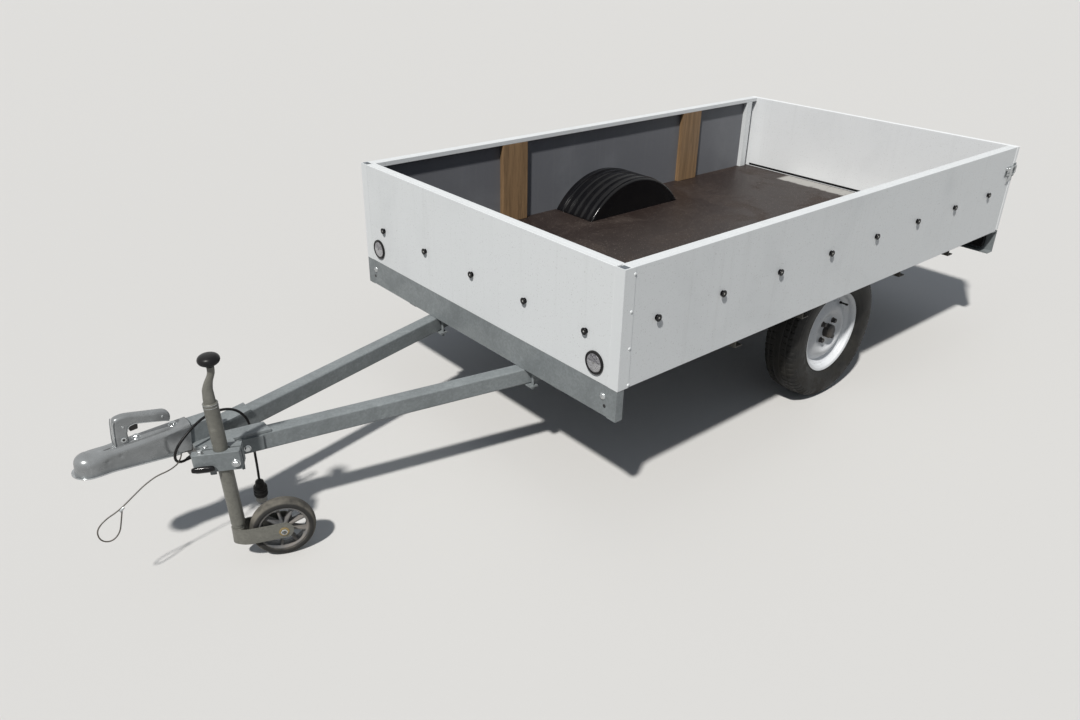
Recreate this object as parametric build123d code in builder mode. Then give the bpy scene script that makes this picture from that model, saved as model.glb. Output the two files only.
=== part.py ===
from build123d import *
import math
import os

os.makedirs("parts", exist_ok=True)

# A single axle flatbed trailer with fixed side boards, a drop tailgate, a V drawbar and a jockey wheel.
# Lengths are in millimetres. X points forward to the coupling, Y to the left, Z up from the ground.
# Distances ahead of or behind the bed's front face are given along X from that face.

# Load bed
bed_length = 2547.0
bed_width = 1500.0
rim_height = 905.0
board_height = 401.0
board_thickness = 18.0
floor_thickness = 18.0
batten_thickness = 24.0
batten_width = 145.0
batten_places = (0.3004, 0.7754)
rim_rail_depth = 20.0
rear_strip_width = 45.0
rear_strip_setback = 85.0

# Tailgate
tailgate_thickness = 22.0
tailgate_gap = 3.0
tailgate_bottom_gap = 5.0
seal_width = 16.0
seal_drop = 3.0
hinge_leaf = 4.0
hinge_knuckle_radius = 7.0
hinge_pin_radius = 4.0
hinge_width = 60.0
hinge_leaf_length = 62.0
hinge_axis_drop = 8.0
hinge_from_side = 320.0

# Chassis
post_width = 40.0
post_depth = 30.0
post_wall = 3.0
post_drop = 110.0
crossmember_height = 107.0
channel_flange = 50.0
channel_wall = 4.0
side_rail_height = 80.0
side_rail_width = 40.0
bearer_height = 40.0
bearer_width = 40.0
bearer_places = (1000.0, 1700.0, 2120.0)
tail_bearer_place = 600.0
seat_gap = 0.3

# Running gear
axle_setback = 1341.0
wheel_from_side = 137.5
tyre_radius = 290.0
tyre_width = 155.0
tyre_wall = 9.0
tread_inset = 20.0
tread_crown = 5.0
tread_thickness = 19.0
tread_inner_inset = 8.0
sidewall_place = 58.0
bead_width = 14.0
bead_rise = 2.0
rim_flange_radius = 173.0
rim_width = 120.0
rim_wall = 4.0
rim_bead_step = 8.0
rim_well_depth = 22.0
well_inner = 38.0
well_outer = 34.0
well_slope = 11.0
well_shift = 2.5
disc_offset = 30.0
disc_bore_radius = 29.0
disc_weld = 1.0
# The dished disc's outer and inner lines, as (outwards from its face, radius)
disc_outer_line = ((0.0, 62.0), (12.0, 84.0), (12.0, 98.0), (-6.0, 128.0))
disc_inner_line = ((-10.0, 126.0), (4.0, 96.0), (4.0, 85.0), (-4.0, 64.0))
disc_edge = -14.0
stud_circle = 100.0
stud_count = 4
stud_hole_radius = 7.5
hub_flange_radius = 60.0
hub_flange_thickness = 8.0
hub_body_radius = 33.0
hub_length = 62.0
hub_cap_reach = 32.0
hub_cap_step = 6.0
hub_cap_edge = 8.0
hub_cap_wall = 10.0
spindle_radius = 15.0
spindle_clearance = 0.05
swing_arm_length = 160.0
axle_bracket_height = 18.7
swing_arm_thickness = 22.0
swing_arm_clearance = 6.0
swing_arm_width = 52.0
swing_arm_eye = 30.0
swing_pivot_radius = 38.0
hub_boss_radius = 24.0
spindle_reach = 16.0
axle_tube_side = 70.0
axle_tube_wall = 5.0

# Mudguards
arch_radius = 366.0
arch_rise = 161.0
arch_clearance = 57.0
arch_wall = 4.0
arch_rib_height = 6.0
arch_rib_width = 24.0
arch_rib_count = 5
arch_rib_pitch = 44.0

# Drawbar
bar_width = 50.0
bar_height = 60.0
bar_wall = 4.0
bar_corner = 6.0
bar_half_angle = 12.9
bar_slope = 0.023
bar_inner_y = 247.0
bar_front = 1060.0
bar_tail = 650.0
cap_depth = 6.0
head_plate = 8.0
head_rear = 845.0
head_window = 110.0
head_window_margin = 6.0
carrier_width = 50.0
carrier_height = 64.0
carrier_rear = 965.0
carrier_front = 1110.0
carrier_top_gap = 3.0

# Coupling
coupling_rear = 1063.0
coupling_foot_drop = 39.7
coupling_pitch = 5.2
coupling_wall = 5.0
coupling_rear_height = 91.0
coupling_nose_height = 57.0
coupling_nose = 1387.0
coupling_lip_radius = 47.0
coupling_dome_radius = 38.0
dome_round = 20.0
coupling_lip = 4.0
lip_reach = 8.0
lip_rear = 35.0
ball_seat_height = 10.0
cut_margin = 1.0
ball_radius = 25.0
ball_play = 0.5
lever_width = 28.0
lever_foot = 38.0
lever_foot_place = 162.0
lever_sink = 22.0
lever_wall = 3.0
# The lever's side, as (ahead of its foot's rear edge, up from its foot), and the trough under it
lever_profile = (
    (0.0, 0.0),
    (lever_foot, 0.0),
    (lever_foot, 33.0),
    (34.0, 76.0),
    (31.0, 97.0),
    (22.0, 106.0),
    (-8.0, 107.0),
    (-112.0, 84.0),
    (-122.0, 76.0),
    (-125.0, 62.0),
    (-117.0, 50.0),
    (-103.0, 55.0),
    (-28.0, 74.0),
    (-8.0, 71.0),
    (0.0, 50.0),
)
lever_trough = (
    (-108.0, -1.0),
    (-108.0, 80.0),
    (-8.0, 103.0),
    (20.0, 101.0),
    (27.0, 95.0),
    (34.0, 33.0),
    (34.0, -1.0),
)

# Jockey wheel
jockey_x = 889.0
jockey_y = 206.0
jockey_yaw = 20.0
jockey_lean = 2.6
jockey_trail = 121.4
jockey_wheel_radius = 100.0
jockey_wheel_width = 46.0
jockey_rim_radius = 78.0
jockey_spokes = 9
jockey_axle_radius = 8.0
jockey_rim_wall = 9.0
jockey_boss_radius = 17.0
jockey_spoke_width = 8.0
jockey_spoke_reach = 56.0
jockey_rim_inset = 4.0
tyre_lip = 2.0
tyre_shoulder = 6.0
outer_tube_radius = 21.2
outer_tube_wall = 2.2
outer_tube_bottom = 144.0
outer_tube_lid = 6.0
collar_above_clamp = 153.0
leg_wall = 3.0
leg_margin = 96.0
leg_foot = 40.0
pin_play = 0.08
slide_play = 0.1
fork_inner_half = 30.0
fork_strap = 4.0
fork_height = 54.0
fork_bottom = 76.0
fork_tip = 30.0
fork_knee = 100.0
fork_nose = 150.0
fork_nose_half = 11.0
fork_nose_inner_half = 8.0
boss_inset = 2.0
swivel_pin_length = 50.0
axle_proud = 6.0
swivel_pin_radius = 8.0
swivel_gap = 1.6
knob_above_collar = 134.0
knob_offset = 22.0
knob_radius = 31.5
knob_thickness = 31.0
knob_neck_radius = 12.0
knob_neck_length = 8.0
knob_neck_gap = 6.0
knob_flat = 0.5
knob_crown = 1.0
clamp_drop = 21.0
clamp_height = 62.0
clamp_turn = -30.0
clamp_front = 82.0
clamp_back = 56.0
clamp_depth = 28.0
clamp_split = 3.0
clamp_tab_place = 32.0
clamp_tab_width = 18.0
clamp_tab_thickness = 5.0
clamp_tab_length = 17.0
grip_place = 20.0
grip_length = 64.0
grip_rise = 16.0
grip_out = 9.0
grip_half_width = 8.0
grip_half_height = 10.0
foot_behind = 130.0
foot_ahead = 15.0
foot_height = 50.0
foot_thickness = 6.0
gusset_behind = 40.0
gusset_bite = 6.0
gusset_thickness = 8.0

# Small fittings
reflector_radius = 40.0
reflector_lens_radius = 31.0
reflector_from_side = 103.0
reflector_drop = 339.0
knob_disc_radius = 12.5
knob_disc_depth = 12.0
knob_disc_taper = 12.0
side_knob_first = 154.0
side_knob_last = 216.0
side_knob_count = 8
side_knob_drop = 190.0
front_knob_count = 5
front_knob_drop = 247.0
lamp_width = 210.0
lamp_height = 72.0
lamp_from_side = 145.0
lamp_inside = 30.0
lamp_outside = 4.0
lens_outside = 12.0
triangle_side = 112.0
triangle_from_side = 450.0
triangle_depth = 6.0

# Places worked out from the sizes above
half_width = bed_width / 2
inner_half = half_width - board_thickness
batten_half = inner_half - batten_thickness
bed_bottom = rim_height - board_height
floor_top = bed_bottom + floor_thickness
hinge_stand_off = hinge_leaf + hinge_knuckle_radius
rear_reach = bed_length + hinge_stand_off + hinge_knuckle_radius
front_x = (rear_reach - coupling_nose) / 2
rear_x = front_x - bed_length
axle_x = front_x - axle_setback
wheel_y = half_width - wheel_from_side
arch_inner_y = wheel_y - tyre_width / 2 - arch_clearance
board_rear_x = rear_x + tailgate_thickness + tailgate_gap
floor_rear_x = board_rear_x + seal_width + 2 * seat_gap
chassis_bottom = bed_bottom - crossmember_height
coupling_foot_z = chassis_bottom - coupling_foot_drop
arch_centre_z = floor_top + arch_rise - arch_radius
arch_half = math.sqrt(arch_radius**2 - (arch_radius - arch_rise) ** 2)
rail_outer_y = arch_inner_y - seat_gap
rail_inner_y = rail_outer_y - side_rail_width
sides = (("left", 1), ("right", -1))


def save(part, label):
    """Labels a finished piece and writes it under its node's name."""
    part.label = label
    export_step(part, f"parts/{label}.step")


def block(x0, x1, y0, y1, z0, z1, mode=Mode.ADD):
    """A block between two corners, in the part's own frame."""
    middle = ((x0 + x1) / 2, (y0 + y1) / 2, (z0 + z1) / 2)
    with Locations(middle):
        Box(abs(x1 - x0), abs(y1 - y0), abs(z1 - z0), mode=mode)


# Floor: one sheet, cut out at the wheel arches and notched round the front corner posts
with BuildPart() as floor:
    floor_front_x = front_x - board_thickness
    block(floor_rear_x, floor_front_x, -inner_half, inner_half, bed_bottom, floor_top)
    for _, side in sides:
        cut_y = (side * arch_inner_y, side * half_width)
        block(axle_x - arch_half, axle_x + arch_half, *cut_y, bed_bottom, floor_top, Mode.SUBTRACT)
        notch_y = (side * (half_width - post_width), side * half_width)
        block(front_x - post_depth, front_x, *notch_y, bed_bottom, floor_top, Mode.SUBTRACT)
save(floor.part, "floor")

# Front board between the corner posts
with BuildPart() as front_board:
    board_half = half_width - post_width
    block(front_x - board_thickness, front_x, -board_half, board_half, bed_bottom, rim_height)
save(front_board.part, "front_board")

# Side boards run from the corner posts to the tailgate
for name, side in sides:
    with BuildPart() as side_board:
        board_y = (side * inner_half, side * half_width)
        block(board_rear_x, front_x - post_depth, *board_y, bed_bottom, rim_height)
    save(side_board.part, f"side_board_{name}")

# Rim rails: square strips along the boards' top inner edges
with BuildPart() as rim_rails:
    rail_z = (rim_height - rim_rail_depth, rim_height)
    front_rail_x = (front_x - board_thickness - batten_thickness, front_x - board_thickness)
    block(*front_rail_x, -batten_half + seat_gap, batten_half - seat_gap, *rail_z)
    for _, side in sides:
        block(board_rear_x, front_x - post_depth, side * batten_half, side * inner_half, *rail_z)
save(rim_rails.part, "rim_rails")

# Battens: upright planks that stiffen the side boards
with BuildPart() as battens:
    for place in batten_places:
        for _, side in sides:
            batten_centre = front_x - place * bed_length
            batten_x = (batten_centre - batten_width / 2, batten_centre + batten_width / 2)
            batten_y = (side * batten_half, side * inner_half)
            block(*batten_x, *batten_y, floor_top, rim_height - rim_rail_depth)
save(battens.part, "battens")

# Rear strips: narrow painted battens just ahead of the tailgate
with BuildPart() as rear_strips:
    for _, side in sides:
        strip_x = rear_x + rear_strip_setback
        strip_y = (side * batten_half, side * inner_half)
        strip_half = rear_strip_width / 2
        block(strip_x - strip_half, strip_x + strip_half, *strip_y, floor_top, rim_height - rim_rail_depth)
save(rear_strips.part, "rear_strips")

# Corner posts: rectangular tubes, open at the top, with a rounded foot below the boards
with BuildPart() as corner_posts:
    post_z = bed_bottom - post_drop
    for _, side in sides:
        middle = (front_x - post_depth / 2, side * (half_width - post_width / 2))
        with BuildSketch(Plane.XY.offset(post_z)):
            with Locations(middle):
                Rectangle(post_depth, post_width)
                offset(amount=-post_wall, mode=Mode.SUBTRACT)
        extrude(amount=rim_height - post_z)
save(corner_posts.part, "corner_posts")


def channel(x_web, direction, z0, z1, y0, y1, flange, wall):
    """A C channel across the trailer, its web at x_web and its flanges pointing along direction."""
    block(x_web, x_web + direction * wall, y0, y1, z0, z1)
    block(x_web, x_web + direction * flange, y0, y1, z0, z0 + wall)
    block(x_web, x_web + direction * flange, y0, y1, z1 - wall, z1)


# Front crossmember: a channel between the corner posts, its web flush with the front board
with BuildPart() as front_crossmember:
    span = half_width - post_width
    channel(front_x, -1, chassis_bottom, bed_bottom, -span, span, channel_flange, channel_wall)
save(front_crossmember.part, "front_crossmember")

# Rear crossmember: the same channel turned round, with a window for each lamp
lamp_z = (chassis_bottom + bed_bottom) / 2
lamp_y = half_width - lamp_from_side
with BuildPart() as rear_crossmember:
    channel(rear_x, 1, chassis_bottom, bed_bottom, -half_width, half_width, channel_flange, channel_wall)
    for _, side in sides:
        window_y = (side * (lamp_y - lamp_width / 2), side * (lamp_y + lamp_width / 2))
        window_z = (lamp_z - lamp_height / 2, lamp_z + lamp_height / 2)
        block(rear_x, rear_x + channel_wall, *window_y, *window_z, Mode.SUBTRACT)
save(rear_crossmember.part, "rear_crossmember")

# Side rails: channels along the trailer, just inside the wheel arches
with BuildPart() as side_rails:
    rail_front_x = front_x - channel_flange - seat_gap
    rail_rear_x = rear_x + channel_flange + seat_gap
    rail_z0 = bed_bottom - side_rail_height
    for _, side in sides:
        web_y = (side * rail_inner_y, side * (rail_inner_y + channel_wall))
        flange_y = (side * rail_inner_y, side * rail_outer_y)
        block(rail_rear_x, rail_front_x, *web_y, rail_z0, bed_bottom)
        block(rail_rear_x, rail_front_x, *flange_y, rail_z0, rail_z0 + channel_wall)
        block(rail_rear_x, rail_front_x, *flange_y, bed_bottom - channel_wall, bed_bottom)
save(side_rails.part, "side_rails")


def bar_top(ahead):
    """Height of the drawbar tubes' top, a distance ahead of the bed's front face."""
    return chassis_bottom - seat_gap - bar_slope * (ahead + channel_flange)


# Floor bearers: channels between the side rails, with short arms out to the boards
with BuildPart() as floor_bearers:
    tail_height = bed_bottom - bar_top(-tail_bearer_place - bearer_width) - seat_gap
    for place, height in [(tail_bearer_place, tail_height)] + [(p, bearer_height) for p in bearer_places]:
        web_x = front_x - place
        heights = (bed_bottom - height, bed_bottom)
        middle_half = rail_inner_y - seat_gap
        channel(web_x, -1, *heights, -middle_half, middle_half, bearer_width, channel_wall)
        for _, side in sides:
            arm_y = (side * (rail_outer_y + seat_gap), side * (inner_half - seat_gap))
            arm_z = (bed_bottom - bearer_height, bed_bottom)
            channel(web_x, -1, *arm_z, *arm_y, bearer_width, channel_wall)
save(floor_bearers.part, "floor_bearers")

# Drawbar tubes: straight rectangular tubes that meet at the coupling
bar_tan = math.tan(math.radians(bar_half_angle))
bar_centre_y = bar_inner_y + bar_width / 2 / math.cos(math.radians(bar_half_angle))
bar_margin = 100.0
for name, side in sides:
    tail = -bar_tail - bar_margin
    start = Vector(front_x + tail, side * (bar_centre_y - bar_tan * tail), bar_top(tail) - bar_height / 2)
    along = Vector(1, -side * bar_tan, -bar_slope)
    across = Vector(side * bar_tan, 1, 0)
    bar_plane = Plane(origin=start, x_dir=across, z_dir=along)
    with BuildPart() as drawbar_tube:
        with BuildSketch(bar_plane):
            RectangleRounded(bar_width, bar_height, bar_corner)
            inner_size = (bar_width - 2 * bar_wall, bar_height - 2 * bar_wall)
            RectangleRounded(*inner_size, bar_corner - bar_wall, mode=Mode.SUBTRACT)
        extrude(amount=bar_tail + bar_front + 3 * bar_margin)
        bar_x = (front_x - bar_tail, front_x + bar_front)
        block(*bar_x, -bed_width, bed_width, 0, rim_height, Mode.INTERSECT)
    save(drawbar_tube.part, f"drawbar_{name}")

# Drawbar caps: plugs that close the tubes' front ends, where the supply cable comes out of the left one
with BuildPart() as drawbar_caps:
    for _, side in sides:
        cap_y = side * (bar_centre_y - bar_tan * bar_front)
        cap_half = bar_width / 2 - bar_wall - seat_gap - cap_depth * bar_tan
        cap_middle = bar_top(bar_front) - bar_height / 2
        cap_rise = bar_height / 2 - bar_wall - 2 * seat_gap
        cap_x = (front_x + bar_front - cap_depth, front_x + bar_front)
        block(*cap_x, cap_y - cap_half, cap_y + cap_half, cap_middle - cap_rise, cap_middle + cap_rise)
save(drawbar_caps.part, "drawbar_caps")

# Drawbar straps: each holds a drawbar tube up against the front crossmember
strap_width = 30.0
strap_rod = 10.0
strap_plate = 6.0
strap_slack = 1.5
rod_proud = 12.0
rod_clearance = 4.0
with BuildPart() as drawbar_straps:
    strap_x = front_x - channel_flange / 2
    strap_y = bar_centre_y + bar_tan * channel_flange / 2
    strap_reach = bar_width / 2 + strap_rod + rod_clearance
    strap_top = bar_top(-channel_flange / 2)
    strap_low = strap_top - bar_height - strap_slack
    rod_length = chassis_bottom - strap_low + strap_plate + rod_proud
    for _, side in sides:
        middle_y = side * strap_y
        for end in (-1, 1):
            rod_y = middle_y + end * strap_reach
            with Locations((strap_x, rod_y, chassis_bottom)):
                Cylinder(strap_rod / 2, rod_length, align=(Align.CENTER, Align.CENTER, Align.MAX))
        plate_y = (middle_y - strap_reach - strap_rod, middle_y + strap_reach + strap_rod)
        strap_plate_x = (strap_x - strap_width / 2, strap_x + strap_width / 2)
        block(*strap_plate_x, *plate_y, strap_low - strap_plate, strap_low)
save(drawbar_straps.part, "drawbar_straps")

# Jockey post frame: the post leans forward in the plane of its wheel
yaw = math.radians(jockey_yaw)
lean = math.radians(jockey_lean)
trail_dir = Vector(-math.cos(yaw), math.sin(yaw), 0)
side_dir = Vector(math.sin(yaw), math.cos(yaw), 0)
post_dir = Vector(0, 0, math.cos(lean)) - trail_dir * math.sin(lean)
wheel_ground = Vector(front_x + jockey_x, jockey_y, 0)
post_ground = wheel_ground - trail_dir * jockey_trail
post_plane = Plane(origin=post_ground, x_dir=trail_dir + Vector(0, 0, math.tan(lean)), z_dir=post_dir)

# Drawbar head: a plate on the two tubes, with an arm out to the jockey clamp and the coupling's carrier
head_plane = Plane(
    origin=(front_x, 0, bar_top(0) + seat_gap),
    x_dir=(1, 0, -bar_slope),
    z_dir=(bar_slope, 0, 1),
)
clamp_angle = math.radians(clamp_turn)
clamp_dir = Vector(math.cos(clamp_angle), math.sin(clamp_angle), 0)
clamp_out = Vector(-math.sin(clamp_angle), math.cos(clamp_angle), 0)
clamp_bottom = bar_top(jockey_x + jockey_trail) - clamp_drop
clamp_centre = post_ground + post_dir * (clamp_bottom / math.cos(lean))


def bar_outer(ahead):
    """Half the width over both drawbar tubes, a distance ahead of the bed."""
    return bar_inner_y + bar_width / math.cos(math.radians(bar_half_angle)) - bar_tan * ahead


def bar_inner(ahead):
    """Half the gap between the drawbar tubes, a distance ahead of the bed."""
    return bar_inner_y - bar_tan * ahead


arm_back = clamp_centre - clamp_out * (clamp_depth + seat_gap)
arm_a = arm_back - clamp_dir * clamp_back
arm_b = arm_back + clamp_dir * clamp_back
with BuildPart() as drawbar_head:
    with BuildSketch(head_plane):
        with BuildLine():
            Polyline(
                (head_rear, -bar_outer(head_rear)),
                (head_rear, bar_outer(head_rear)),
                (arm_a.X - front_x, bar_outer(arm_a.X - front_x)),
                (arm_a.X - front_x, arm_a.Y),
                (arm_b.X - front_x, arm_b.Y),
                (arm_b.X - front_x, bar_outer(arm_b.X - front_x)),
                (bar_front, bar_outer(bar_front)),
                (bar_front, -bar_outer(bar_front)),
                close=True,
            )
        make_face()
        with BuildLine():
            window_front = head_rear + head_window
            Polyline(
                (head_rear - cut_margin, bar_inner(head_rear) - head_window_margin),
                (window_front, bar_inner(window_front) - head_window_margin),
                (window_front, -bar_inner(window_front) + head_window_margin),
                (head_rear - cut_margin, -bar_inner(head_rear) + head_window_margin),
                close=True,
            )
        make_face(mode=Mode.SUBTRACT)
    extrude(amount=head_plate)
    carrier_z = coupling_foot_z + coupling_rear_height - coupling_wall - carrier_top_gap
    carrier_x = (front_x + carrier_rear, front_x + carrier_front)
    carrier_y = carrier_width / 2
    block(*carrier_x, -carrier_y, carrier_y, carrier_z - carrier_height, carrier_z)
    hollow_y = carrier_y - bar_wall
    hollow_z = (carrier_z - carrier_height + bar_wall, carrier_z - bar_wall)
    block(*carrier_x, -hollow_y, hollow_y, *hollow_z, Mode.SUBTRACT)
save(drawbar_head.part, "drawbar_head")

# Coupling: a pressed shell over the carrier, with a lipped foot and a domed nose over the ball
coupling_plane = Plane(
    origin=(front_x + coupling_rear, 0, coupling_foot_z),
    x_dir=(math.cos(math.radians(coupling_pitch)), 0, math.sin(math.radians(coupling_pitch))),
    z_dir=(-math.sin(math.radians(coupling_pitch)), 0, math.cos(math.radians(coupling_pitch))),
)
side_plane = Plane(origin=coupling_plane.origin, x_dir=coupling_plane.x_dir, z_dir=(0, -1, 0))
coupling_length = (coupling_nose - coupling_rear) / math.cos(math.radians(coupling_pitch))
dome_x = coupling_length - coupling_lip_radius
coupling_half = carrier_width / 2 + coupling_wall + seat_gap
lever_x = front_x + coupling_rear + lever_foot_place
lever_z = coupling_foot_z + coupling_rear_height - coupling_wall - lever_sink
with BuildPart() as coupling:
    with BuildSketch(side_plane):
        with BuildLine():
            Polyline(
                (0, 0),
                (dome_x, 0),
                (dome_x, coupling_nose_height),
                (0, coupling_rear_height),
                close=True,
            )
        make_face()
    extrude(amount=coupling_half, both=True)
    dome_side = coupling_nose_height - dome_round
    dome_edge = coupling_dome_radius - dome_round
    dome_mid = dome_round * math.sin(math.radians(45))
    with BuildSketch(side_plane):
        with BuildLine():
            dome_wall = (dome_x + coupling_dome_radius, dome_side)
            dome_turn = (dome_x + dome_edge + dome_mid, dome_side + dome_mid)
            dome_top = (dome_x + dome_edge, coupling_nose_height)
            Polyline((dome_x, 0), (dome_x + coupling_dome_radius, 0), dome_wall)
            ThreePointArc(dome_wall, dome_turn, dome_top)
            Polyline(dome_top, (dome_x, coupling_nose_height), (dome_x, 0))
        make_face()
    revolve(axis=Axis(coupling_plane.from_local_coords(Vector(dome_x, 0, 0)), coupling_plane.z_dir))
    with BuildSketch(coupling_plane):
        with Locations((dome_x, 0)):
            Circle(coupling_lip_radius)
        with Locations(((dome_x + lip_rear) / 2, 0)):
            Rectangle(dome_x - lip_rear, 2 * (coupling_half + lip_reach))
    extrude(amount=coupling_lip)
    with BuildSketch(side_plane):
        with BuildLine():
            Polyline(
                (-cut_margin, -cut_margin),
                (dome_x - ball_radius, -cut_margin),
                (dome_x - ball_radius, coupling_nose_height - coupling_wall),
                (-cut_margin, coupling_rear_height - coupling_wall),
                close=True,
            )
        make_face()
    extrude(amount=carrier_width / 2 + seat_gap, both=True, mode=Mode.SUBTRACT)
    with BuildSketch(coupling_plane):
        with Locations((dome_x, 0)):
            Circle(ball_radius + ball_play)
    extrude(amount=ball_seat_height, mode=Mode.SUBTRACT)
    with Locations(coupling_plane.from_local_coords(Vector(dome_x, 0, ball_seat_height))):
        Sphere(ball_radius + ball_play, mode=Mode.SUBTRACT)
    slot_x = (lever_x - seat_gap, lever_x + lever_foot + seat_gap)
    slot_half = lever_width / 2 + seat_gap
    slot_z = coupling_foot_z + coupling_nose_height
    block(*slot_x, -slot_half, slot_half, slot_z, slot_z + coupling_rear_height, Mode.SUBTRACT)
save(coupling.part, "coupling")

# Coupling lever: a folded steel handle, raised, with its underside open
lever_half = lever_width / 2
lever_steps = ((lever_profile, lever_half, Mode.ADD), (lever_trough, lever_half - lever_wall, Mode.SUBTRACT))
with BuildPart() as coupling_lever:
    for outline, half, mode in lever_steps:
        with BuildSketch(Plane(origin=(lever_x, half, lever_z), x_dir=(1, 0, 0), z_dir=(0, -1, 0))):
            with BuildLine():
                Polyline(*outline, close=True)
            make_face()
        extrude(amount=2 * half, mode=mode)
save(coupling_lever.part, "coupling_lever")

# Jockey clamp: a fixed half on the head's arm and a front half that grips the post
bore_radius = outer_tube_radius + slide_play
clamp_plane = Plane(origin=clamp_centre, x_dir=clamp_dir - post_dir * clamp_dir.dot(post_dir), z_dir=post_dir)
clamp_halves = (
    ("jockey_clamp", 1, clamp_front, clamp_back),
    ("jockey_bracket", -1, clamp_back, clamp_back),
)
gusset_top = bar_top(jockey_x + jockey_trail) - 2 * seat_gap
gusset_reach = arm_a.Y + gusset_bite
for label, way, ahead, behind in clamp_halves:
    with BuildPart() as clamp_half:
        with BuildSketch(clamp_plane):
            with Locations(((ahead - behind) / 2, way * (clamp_depth + clamp_split) / 2)):
                Rectangle(ahead + behind, clamp_depth - clamp_split)
            Circle(bore_radius, mode=Mode.SUBTRACT)
        extrude(amount=clamp_height)
        if way > 0:
            with BuildSketch(clamp_plane):
                with Locations((clamp_tab_place, clamp_depth / 2)):
                    Rectangle(clamp_tab_width, clamp_tab_thickness)
            extrude(amount=-clamp_tab_length)
        else:
            foot_x = (post_ground.X - front_x - foot_behind, post_ground.X - front_x - foot_ahead)
            foot_y = [bar_outer(x) + seat_gap for x in foot_x]
            with BuildSketch(Plane.XY.offset(gusset_top - foot_height)):
                with BuildLine():
                    Polyline(
                        (front_x + foot_x[0], foot_y[0]),
                        (front_x + foot_x[1], foot_y[1]),
                        (front_x + foot_x[1], foot_y[1] + foot_thickness),
                        (front_x + foot_x[0], foot_y[0] + foot_thickness),
                        close=True,
                    )
                make_face()
            extrude(amount=foot_height)
            gusset_x = post_ground.X - gusset_behind
            gusset_y = (bar_outer(gusset_x - front_x) + foot_thickness / 2, gusset_reach)
            block(gusset_x, gusset_x + gusset_thickness, *gusset_y, gusset_top - foot_height, gusset_top)
    save(clamp_half.part, label)

# Clamp handle: a gripped lever across the front of the clamp's foot
with BuildPart() as clamp_handle:
    grip_origin = clamp_centre + clamp_out * (clamp_depth + grip_out) + post_dir * grip_rise
    with BuildSketch(Plane(origin=grip_origin, x_dir=clamp_out, z_dir=clamp_dir).offset(grip_place)):
        Ellipse(grip_half_width, grip_half_height)
    extrude(amount=grip_length)
save(clamp_handle.part, "clamp_handle")

outer_tube_top = clamp_bottom + clamp_height + collar_above_clamp
knob_height = outer_tube_top + knob_above_collar

# Jockey outer tube: slides in the clamp, with a collar at its top
with BuildPart() as jockey_outer_tube:
    with BuildSketch(post_plane.offset(outer_tube_bottom)):
        Circle(outer_tube_radius)
        Circle(outer_tube_radius - outer_tube_wall, mode=Mode.SUBTRACT)
    extrude(amount=outer_tube_top - outer_tube_bottom)
    with BuildSketch(post_plane.offset(outer_tube_top)):
        Circle(outer_tube_radius)
    extrude(amount=-outer_tube_lid)
save(jockey_outer_tube.part, "jockey_outer_tube")

# Jockey crank: a flattened, cranked handle on the tube's top
crank_plane = post_plane.offset(outer_tube_top)
crank_height = knob_height - knob_thickness / 2 - knob_neck_gap - outer_tube_top
# The crank's oval sections, as (height over the tube, shift, reach, half width)
crank_sections = (
    (0.0, 0.0, 17.0, 15.0),
    (0.4 * crank_height, 2.0, 15.0, 10.0),
    (crank_height - 20.0, knob_offset - 2.0, 10.5, 9.0),
    (crank_height, knob_offset, 10.5, 10.0),
)
with BuildPart() as jockey_crank:
    for low, high in zip(crank_sections, crank_sections[1:]):
        for height, shift, reach, half in (low, high):
            with BuildSketch(crank_plane.offset(height)):
                with Locations((shift, 0)):
                    Ellipse(reach, half)
        loft()
save(jockey_crank.part, "jockey_crank")

# Jockey knob: a flattened ball grip
knob_centre = crank_plane.from_local_coords(Vector(knob_offset, 0, knob_height - outer_tube_top))
knob_half = knob_thickness / 2
knob_face = knob_flat * knob_radius
with BuildPart() as jockey_knob:
    with BuildSketch(Plane(origin=knob_centre, x_dir=post_plane.x_dir, z_dir=-post_plane.y_dir)):
        with BuildLine():
            Polyline((0, -knob_half), (knob_face, -knob_half))
            ThreePointArc((knob_face, -knob_half), (knob_radius, 0), (knob_face, knob_half))
            Polyline((knob_face, knob_half), (0, knob_half + knob_crown), (0, -knob_half))
        make_face()
    revolve(axis=Axis(knob_centre, post_dir))
    with BuildSketch(crank_plane.offset(crank_height)):
        with Locations((knob_offset, 0)):
            Circle(knob_neck_radius)
    extrude(amount=knob_neck_length)
save(jockey_knob.part, "jockey_knob")

# Jockey leg: the inner tube that the crank screws out, closed at its foot by the swivel's bearing
leg_radius = outer_tube_radius - outer_tube_wall - slide_play
fork_top = fork_bottom + fork_height
leg_bottom = fork_top + swivel_gap
leg_length = outer_tube_top - leg_margin - leg_bottom
with BuildPart() as jockey_leg:
    with BuildSketch(post_plane.offset(leg_bottom)):
        Circle(leg_radius)
    extrude(amount=leg_length)
    with BuildSketch(post_plane.offset(leg_bottom + leg_foot)):
        Circle(leg_radius - leg_wall)
    extrude(amount=leg_length, mode=Mode.SUBTRACT)
    with BuildSketch(post_plane.offset(leg_bottom)):
        Circle(swivel_pin_radius + pin_play)
    extrude(amount=leg_length, mode=Mode.SUBTRACT)
save(jockey_leg.part, "jockey_leg")

# Jockey fork: a bent strap round the swivel boss, its arms running back to the wheel's axle
fork_plane = Plane(origin=wheel_ground + Vector(0, 0, fork_bottom), x_dir=trail_dir, z_dir=(0, 0, 1))
fork_outer = fork_inner_half + fork_strap


def strap_outline(reach, nose_half, nose):
    """Plan of the bent strap's outside or inside, from the arms' tips round the nose."""
    Polyline(
        (fork_tip, reach),
        (-fork_knee, reach),
        (-nose, nose_half),
        (-nose, -nose_half),
        (-fork_knee, -reach),
        (fork_tip, -reach),
        close=True,
    )


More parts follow.
